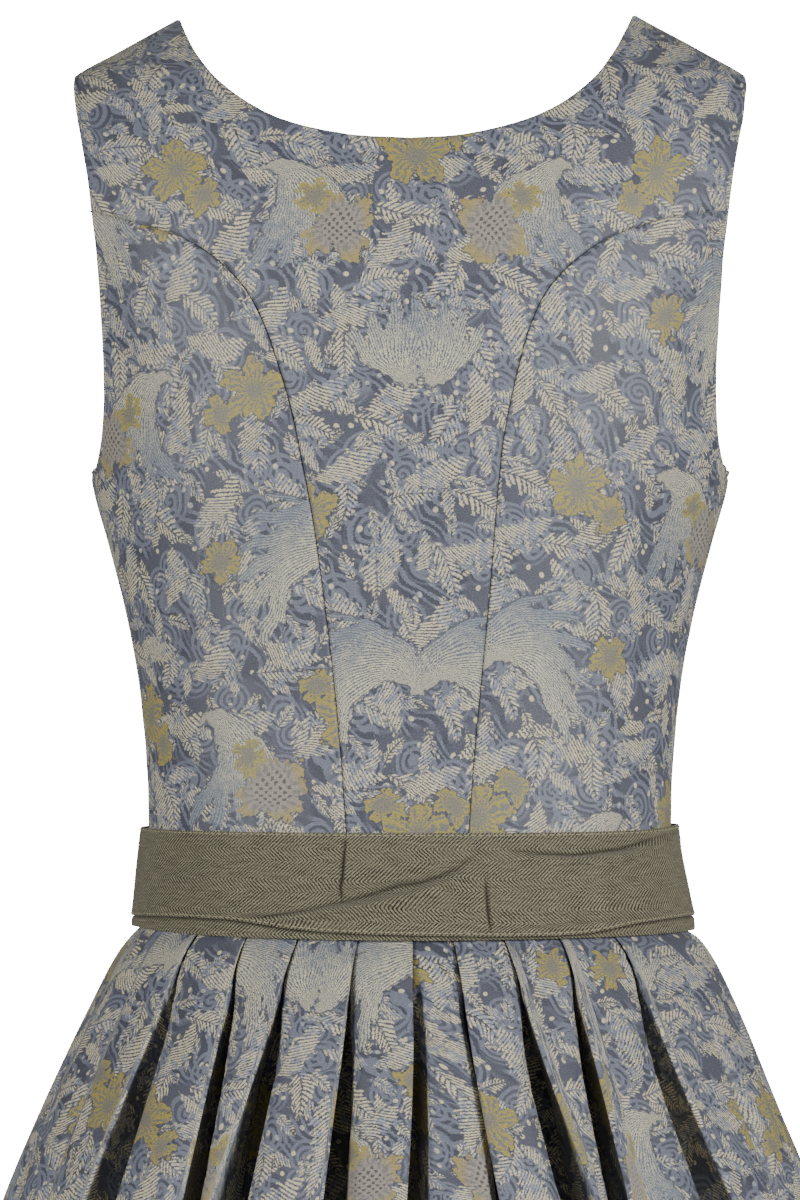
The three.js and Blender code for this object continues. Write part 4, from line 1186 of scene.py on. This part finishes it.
# Painted shade: the shut creases and the strip under the outer turn's edge are darkened towards near
# black by the mesh's own attribute pressed, in place of their shadows
pressed = node(tree, "ShaderNodeAttribute", attribute_name="pressed")
painted_shade = Field(tree, pressed.outputs["Fac"]) * 0.8
with_painted_shade = node(tree, "ShaderNodeMix", {"Factor": painted_shade.socket, 6: tint.outputs[2],
                                       7: linear("#191710")}, data_type="RGBA")
relief = rib * 0.7 + thread_tone * 0.6 + slub * 0.5
bump = node(tree, "ShaderNodeBump", {"Height": relief.socket, "Strength": 0.6, "Distance": 0.0005})
surface = node(tree, "ShaderNodeBsdfPrincipled",
               {"Base Color": with_painted_shade.outputs[2], "Roughness": 0.85, "Normal": bump.outputs[0],
                "Sheen Weight": 0.15, "Specular IOR Level": 0.2})
node(tree, "ShaderNodeOutputMaterial", {"Surface": surface.outputs[0]})


def level_outward(point):
    outward = point * np.array([1, 1, 0])
    return outward / np.linalg.norm(outward, axis=-1, keepdims=True)


def sash_edge(table, turn):
    degrees = (np.degrees(turn) + 180) % 360 - 180
    return read_column(table, "turn", degrees, "z")


def sash_turn(name, turn_degrees, depth_in, top_in, bottom, scale_of_creases, shift):
    """One turn of the sash: its piece, its length, and its points row by row from the lower edge."""
    t = (turn_degrees - turn_degrees[0]) / (turn_degrees[-1] - turn_degrees[0])
    turn = np.radians(turn_degrees)
    share = np.concatenate([[0, 0.01, 0.025], np.linspace(0.045, 0.955, 54), [0.975, 0.99, 1]])
    low = sash_edge(bottom, turn)
    top = sash_edge(TOP_EDGE, turn) - top_in
    z = top[None, :] + (low - top)[None, :] * share[:, None]
    turn_grid = np.broadcast_to(turn, z.shape)
    point = sash_point(turn_grid, z, depth_in(t)[None, :] + 0 * z)
    outward = level_outward(point)
    behind = (np.cos(turn_grid) > 0)[..., None]
    relief = np.where(behind, crease_relief(point, SASH_CREASES),
                      crease_relief(point, FRONT_CREASES))
    from_top = share[:, None] * np.abs(low - top)[None, :]
    from_bottom = (1 - share[:, None]) * np.abs(low - top)[None, :]
    from_edge = np.minimum(from_top, from_bottom)
    fade = np.clip(from_edge / SASH_EDGE_SOFTNESS, 0.12, 1)
    edge_roll = -SASH_EDGE_ROLL * np.exp(-(from_edge / 1.1) ** 2)
    lower_edge = LOWER_EDGE_OUT * scale_of_creases * np.exp(-from_bottom / SASH_EDGE_SOFTNESS)
    edge_roll = edge_roll + lower_edge
    wave = SASH_WAVE * soft_wave(turn_grid * 9, z / 9, 3)
    below = sash_edge(SASH_EDGE, turn_grid) - z
    # Painted shadow: on the inner turn, a dark line just below the outer turn's lower edge, where that
    # edge shades it
    painted_edge_shadow = np.exp(-(below / 1.2) ** 2) * (1 - scale_of_creases)
    flare = UNDER_TURN_FLARE * smooth(-0.5, 1.2, below) * (1 - scale_of_creases)
    relief = relief * (fade * scale_of_creases)[..., None]
    relief[..., 2] = np.maximum(relief[..., 2], painted_edge_shadow)
    point = point + outward * (relief[..., 0] + edge_roll + wave * fade + flare)[..., None]
    point[..., 2] += relief[..., 1]
    round_place = length_along(point[0], 0)
    flat = np.stack([np.broadcast_to(round_place, z.shape), -z + 0 * z], -1) + np.array(shift)
    piece = mesh_from_grids(name, [point], herringbone, [flat], relief[..., 2])
    give_wall(piece, SASH_WALL)
    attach(piece, "root")
    return piece, round_place[-1], point


under, under_length, _ = sash_turn("sash_inner_turn", np.linspace(0, 360, 241),
                                   lambda t: SASH_LAYER + 0 * t, 1.0, UNDER_EDGE, 0.0, (0, 3))
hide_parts("sash_under_layer")
under_length / 1000
lap_share = SASH_LAP_TURN / (360 + SASH_LAP_TURN)
sash_degrees = np.concatenate([
    np.linspace(SASH_LAP_START, 296, 70), np.linspace(296, 338, 50)[1:],
    np.linspace(338, 382, 150)[1:], np.linspace(382, 424, 50)[1:],
    np.linspace(424, SASH_LAP_START + 360 + SASH_LAP_TURN, 100)[1:]])
over, over_length, over_points = sash_turn(
    "sash_outer_turn", sash_degrees,
    lambda t: -SASH_LAYER * smooth(1 - 2 * lap_share, 1 - lap_share - 0.015, t), 0.0, SASH_EDGE,
    1.0, (0, 0))
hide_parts("sash_over_layer")

# Small stitches hold both long edges of the outer turn, in a dull spun linen thread
stitch_thread = bpy.data.materials.new("linen_sewing_thread")
stitch_thread.use_nodes = True
thread_surface = stitch_thread.node_tree.nodes["Principled BSDF"]
thread_surface.inputs["Base Color"].default_value = linear("#9b957a")
thread_surface.inputs["Roughness"].default_value = 0.7
STITCHED_ROWS = (2, -3)
STITCH_PITCH = 0.0036
STITCH_LENGTH = 0.0024
STITCH_RADIUS = 0.00032
runs = bpy.data.curves.new("sash_stitches", "CURVE")
runs.dimensions = "3D"
for row in STITCHED_ROWS:
    run = runs.splines.new("POLY")
    line = over_points[row]
    line = (line + level_outward(line) * 0.1) / 1000
    run.points.add(len(line) - 1)
    run.points.foreach_set("co", np.concatenate([line, np.ones((len(line), 1))], 1).ravel())
stitch_row = add_to_scene("sash_stitches", runs)
group = bpy.data.node_groups.new("running_stitches", "GeometryNodeTree")
group.interface.new_socket("Line", in_out="INPUT", socket_type="NodeSocketGeometry")
pitch_input = group.interface.new_socket("Pitch", in_out="INPUT", socket_type="NodeSocketFloat")
group.interface.new_socket("Stitches", in_out="OUTPUT", socket_type="NodeSocketGeometry")
entry = group.nodes.new("NodeGroupInput")
leaving = group.nodes.new("NodeGroupOutput")
spots = node(group, "GeometryNodeCurveToPoints", {"Curve": entry.outputs["Line"],
                                                  "Length": entry.outputs["Pitch"]}, mode="LENGTH")
stitch = node(group, "GeometryNodeMeshCylinder", {"Vertices": 6, "Radius": STITCH_RADIUS,
                                                  "Depth": STITCH_LENGTH})
placed = node(group, "GeometryNodeInstanceOnPoints", {"Points": spots.outputs["Points"],
                                                      "Instance": stitch.outputs["Mesh"]})
lying = node(group, "FunctionNodeAlignRotationToVector", {"Vector": spots.outputs["Tangent"]},
             axis="Z")
group.links.new(lying.outputs["Rotation"], placed.inputs["Rotation"])
whole = node(group, "GeometryNodeRealizeInstances", {"Geometry": placed.outputs["Instances"]})
dressed = node(group, "GeometryNodeSetMaterial", {"Geometry": whole.outputs["Geometry"],
                                                  "Material": stitch_thread})
group.links.new(dressed.outputs["Geometry"], leaving.inputs["Stitches"])
sewing = stitch_row.modifiers.new("running stitches", "NODES")
sewing.node_group = group
sewing[pitch_input.identifier] = STITCH_PITCH
bpy.context.view_layer.update()
evaluated = stitch_row.evaluated_get(bpy.context.evaluated_depsgraph_get())
stitch_mesh = bpy.data.meshes.new_from_object(evaluated)
bpy.data.objects.remove(stitch_row)
stitches = add_to_scene("sash_stitches", stitch_mesh)
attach(stitches, "root")
over_length / 1000

# The front buttons.
# Seven plain domed buttons of dark horn, turned, polished and sewn down the lapped front edge.
# The horn has clouds of a lighter tone in it, about 4 mm long, and a clear soft gloss.
HORN_CLOUDS = 260.0
horn = bpy.data.materials.new("polished_horn")
horn.use_nodes = True
tree = horn.node_tree
tree.nodes.clear()
place = node(tree, "ShaderNodeTexCoord")
cloudy = node(tree, "ShaderNodeTexNoise", {"Vector": place.outputs["Object"],
                                           "Scale": HORN_CLOUDS, "Detail": 4.0})
tone = node(tree, "ShaderNodeMix", {"Factor": cloudy.outputs["Fac"], 6: linear("#37322b"),
                                    7: linear("#6d6250")}, data_type="RGBA")
surface = node(tree, "ShaderNodeBsdfPrincipled", {"Base Color": tone.outputs[2], "Roughness": 0.32})
node(tree, "ShaderNodeOutputMaterial", {"Surface": surface.outputs[0]})
BUTTON_PROFILE = {
    "radius": (0.0, 2.0, 4.3, 5.1, 5.5, 5.45, 5.1, 4.6, 4.2, 3.2, 1.6, 0.0),
    "height": (0.0, 0.0, 0.0, 0.4, 1.1, 1.8, 2.4, 2.55, 2.45, 2.95, 3.3, 3.4),
}
BUTTON_COUNT = 7
BUTTON_SEAT = 0.6
FIRST_BUTTON_Z = -160.0
ABOVE_SASH = 16
button_step = (SASH_TOP_Z + ABOVE_SASH - FIRST_BUTTON_Z) / (BUTTON_COUNT - 1)
for number in range(BUTTON_COUNT):
    z = FIRST_BUTTON_Z + number * button_step
    outward = body_normal(np.array(math.pi), np.array(z))
    seat = body_point(np.array(math.pi), np.array(z)) + outward * (LAP_LIFT + BUTTON_SEAT)
    tangent = np.cross(outward, [0, 0, 1.0])
    tangent = tangent / np.linalg.norm(tangent)
    upward = np.cross(tangent, outward)
    spin = np.linspace(0, 2 * np.pi, 41)
    radius = np.array(BUTTON_PROFILE["radius"])[:, None]
    rise = np.array(BUTTON_PROFILE["height"])[:, None] + 0 * spin
    grid = (seat + rise[..., None] * outward + (radius * np.cos(spin))[..., None] * tangent
            + (radius * np.sin(spin))[..., None] * upward)
    piece = mesh_from_grids(f"horn_button_{number + 1}", [grid[::-1]], horn, [grid[::-1][..., :2]])
    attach(piece, "root")
    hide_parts(f"front_button_{number + 1}")

# The studio.
# A plain paper floor that sweeps up behind the dress, a back-lit white panel in front of the sweep,
# and two large soft lamps, one to each side between the dress and the camera.


def one_sided(material):
    """Leaves out a backdrop that is looked at from behind, so that the front can be viewed too."""
    tree = material.node_tree
    facing = node(tree, "ShaderNodeNewGeometry")
    clear = node(tree, "ShaderNodeBsdfTransparent")
    shown = node(tree, "ShaderNodeMixShader", {0: facing.outputs["Backfacing"],
                                               1: tree.nodes["Principled BSDF"].outputs[0],
                                               2: clear.outputs[0]})
    tree.links.new(shown.outputs[0], tree.nodes["Material Output"].inputs["Surface"])


# Matt coated paper: no gloss, an even tone
floor_material = bpy.data.materials.new("matt_studio_paper")
floor_material.use_nodes = True
tree = floor_material.node_tree
tree.nodes["Principled BSDF"].inputs["Base Color"].default_value = linear("#8a8a88")
tree.nodes["Principled BSDF"].inputs["Roughness"].default_value = 0.95
one_sided(floor_material)
FLOOR_Z = -1.30
SWEEP_RADIUS = 1.2
SWEEP_START = -2.5
SWEEP_HALF_WIDTH = 7.0
profile = [(SWEEP_HALF_WIDTH, FLOOR_Z)]
profile += [(SWEEP_START - SWEEP_RADIUS * math.sin(a), FLOOR_Z + SWEEP_RADIUS * (1 - math.cos(a)))
            for a in np.linspace(0, math.pi / 2, 14)]
profile += [(SWEEP_START - SWEEP_RADIUS, 4.5)]
sweep = bpy.data.meshes.new("paper_sweep")
corners = [(x, y, z) for y, z in profile for x in (-SWEEP_HALF_WIDTH, SWEEP_HALF_WIDTH)]
strips = [(2 * i, 2 * i + 2, 2 * i + 3, 2 * i + 1) for i in range(len(profile) - 1)]
sweep.from_pydata(corners, [], strips)
sweep.materials.append(floor_material)
sweep.shade_smooth()
sweep_piece = add_to_scene("paper_sweep", sweep)

# A panel of back-lit opal acrylic, an even white glow, fills the view behind the dress
PANEL_HALF_WIDTH = 0.62
PANEL_BEHIND = -3.0
PANEL_LOW_Z = -1.05
PANEL_HIGH_Z = 0.45
PANEL_GLOW = 20.0
panel_material = bpy.data.materials.new("back_lit_acrylic")
panel_material.use_nodes = True
tree = panel_material.node_tree
tree.nodes["Principled BSDF"].inputs["Emission Color"].default_value = linear("#ffffff")
tree.nodes["Principled BSDF"].inputs["Emission Strength"].default_value = PANEL_GLOW
one_sided(panel_material)
panel = bpy.data.meshes.new("back_lit_panel")
panel_corners = [(PANEL_HALF_WIDTH * side, PANEL_BEHIND, z) for side, z in (
    (-1, PANEL_LOW_Z), (1, PANEL_LOW_Z), (1, PANEL_HIGH_Z), (-1, PANEL_HIGH_Z))]
panel.from_pydata(panel_corners, [], [(3, 2, 1, 0)])
panel.materials.append(panel_material)
panel_piece = add_to_scene("back_lit_panel", panel)

LAMPS = (
    {"name": "key", "at": (-3.0, 2.7, 0.25), "aim": (0, 0, -0.35), "size": 1.0, "power": 162},
    {"name": "fill", "at": (3.0, 2.7, 0.05), "aim": (0, 0, -0.35), "size": 1.0, "power": 121},
)
for lamp in LAMPS:
    light = bpy.data.lights.new(lamp["name"], "AREA")
    light.shape = "SQUARE"
    light.size = lamp["size"]
    light.energy = lamp["power"]
    holder = add_to_scene(lamp["name"], light)
    holder.location = lamp["at"]
    aim = Vector(lamp["aim"]) - Vector(lamp["at"])
    holder.rotation_euler = aim.to_track_quat("-Z", "Y").to_euler()
world = bpy.data.worlds.new("studio")
world.use_nodes = True
world.node_tree.nodes["Background"].inputs["Color"].default_value = linear("#ffffff")
world.node_tree.nodes["Background"].inputs["Strength"].default_value = 0.03
bpy.context.scene.world = world

# The camera looks level at the back: the photograph is 0.6 m high where the bodice's back lies
VIEW_HEIGHT = 0.600
CAMERA_AWAY = 5.0
CAMERA_ASIDE = 0.005
CAMERA_HEIGHT = -0.291
BACK_OUT = 0.03
lens = bpy.data.cameras.new("back_view")
lens.sensor_fit = "VERTICAL"
lens.sensor_height = 36.0
lens.lens = lens.sensor_height * (CAMERA_AWAY - BACK_OUT) / VIEW_HEIGHT
camera = add_to_scene("back_view", lens)
camera.location = (CAMERA_ASIDE, CAMERA_AWAY, CAMERA_HEIGHT)
camera.rotation_euler = (math.radians(90), 0, math.radians(180))
bpy.context.scene.camera = camera
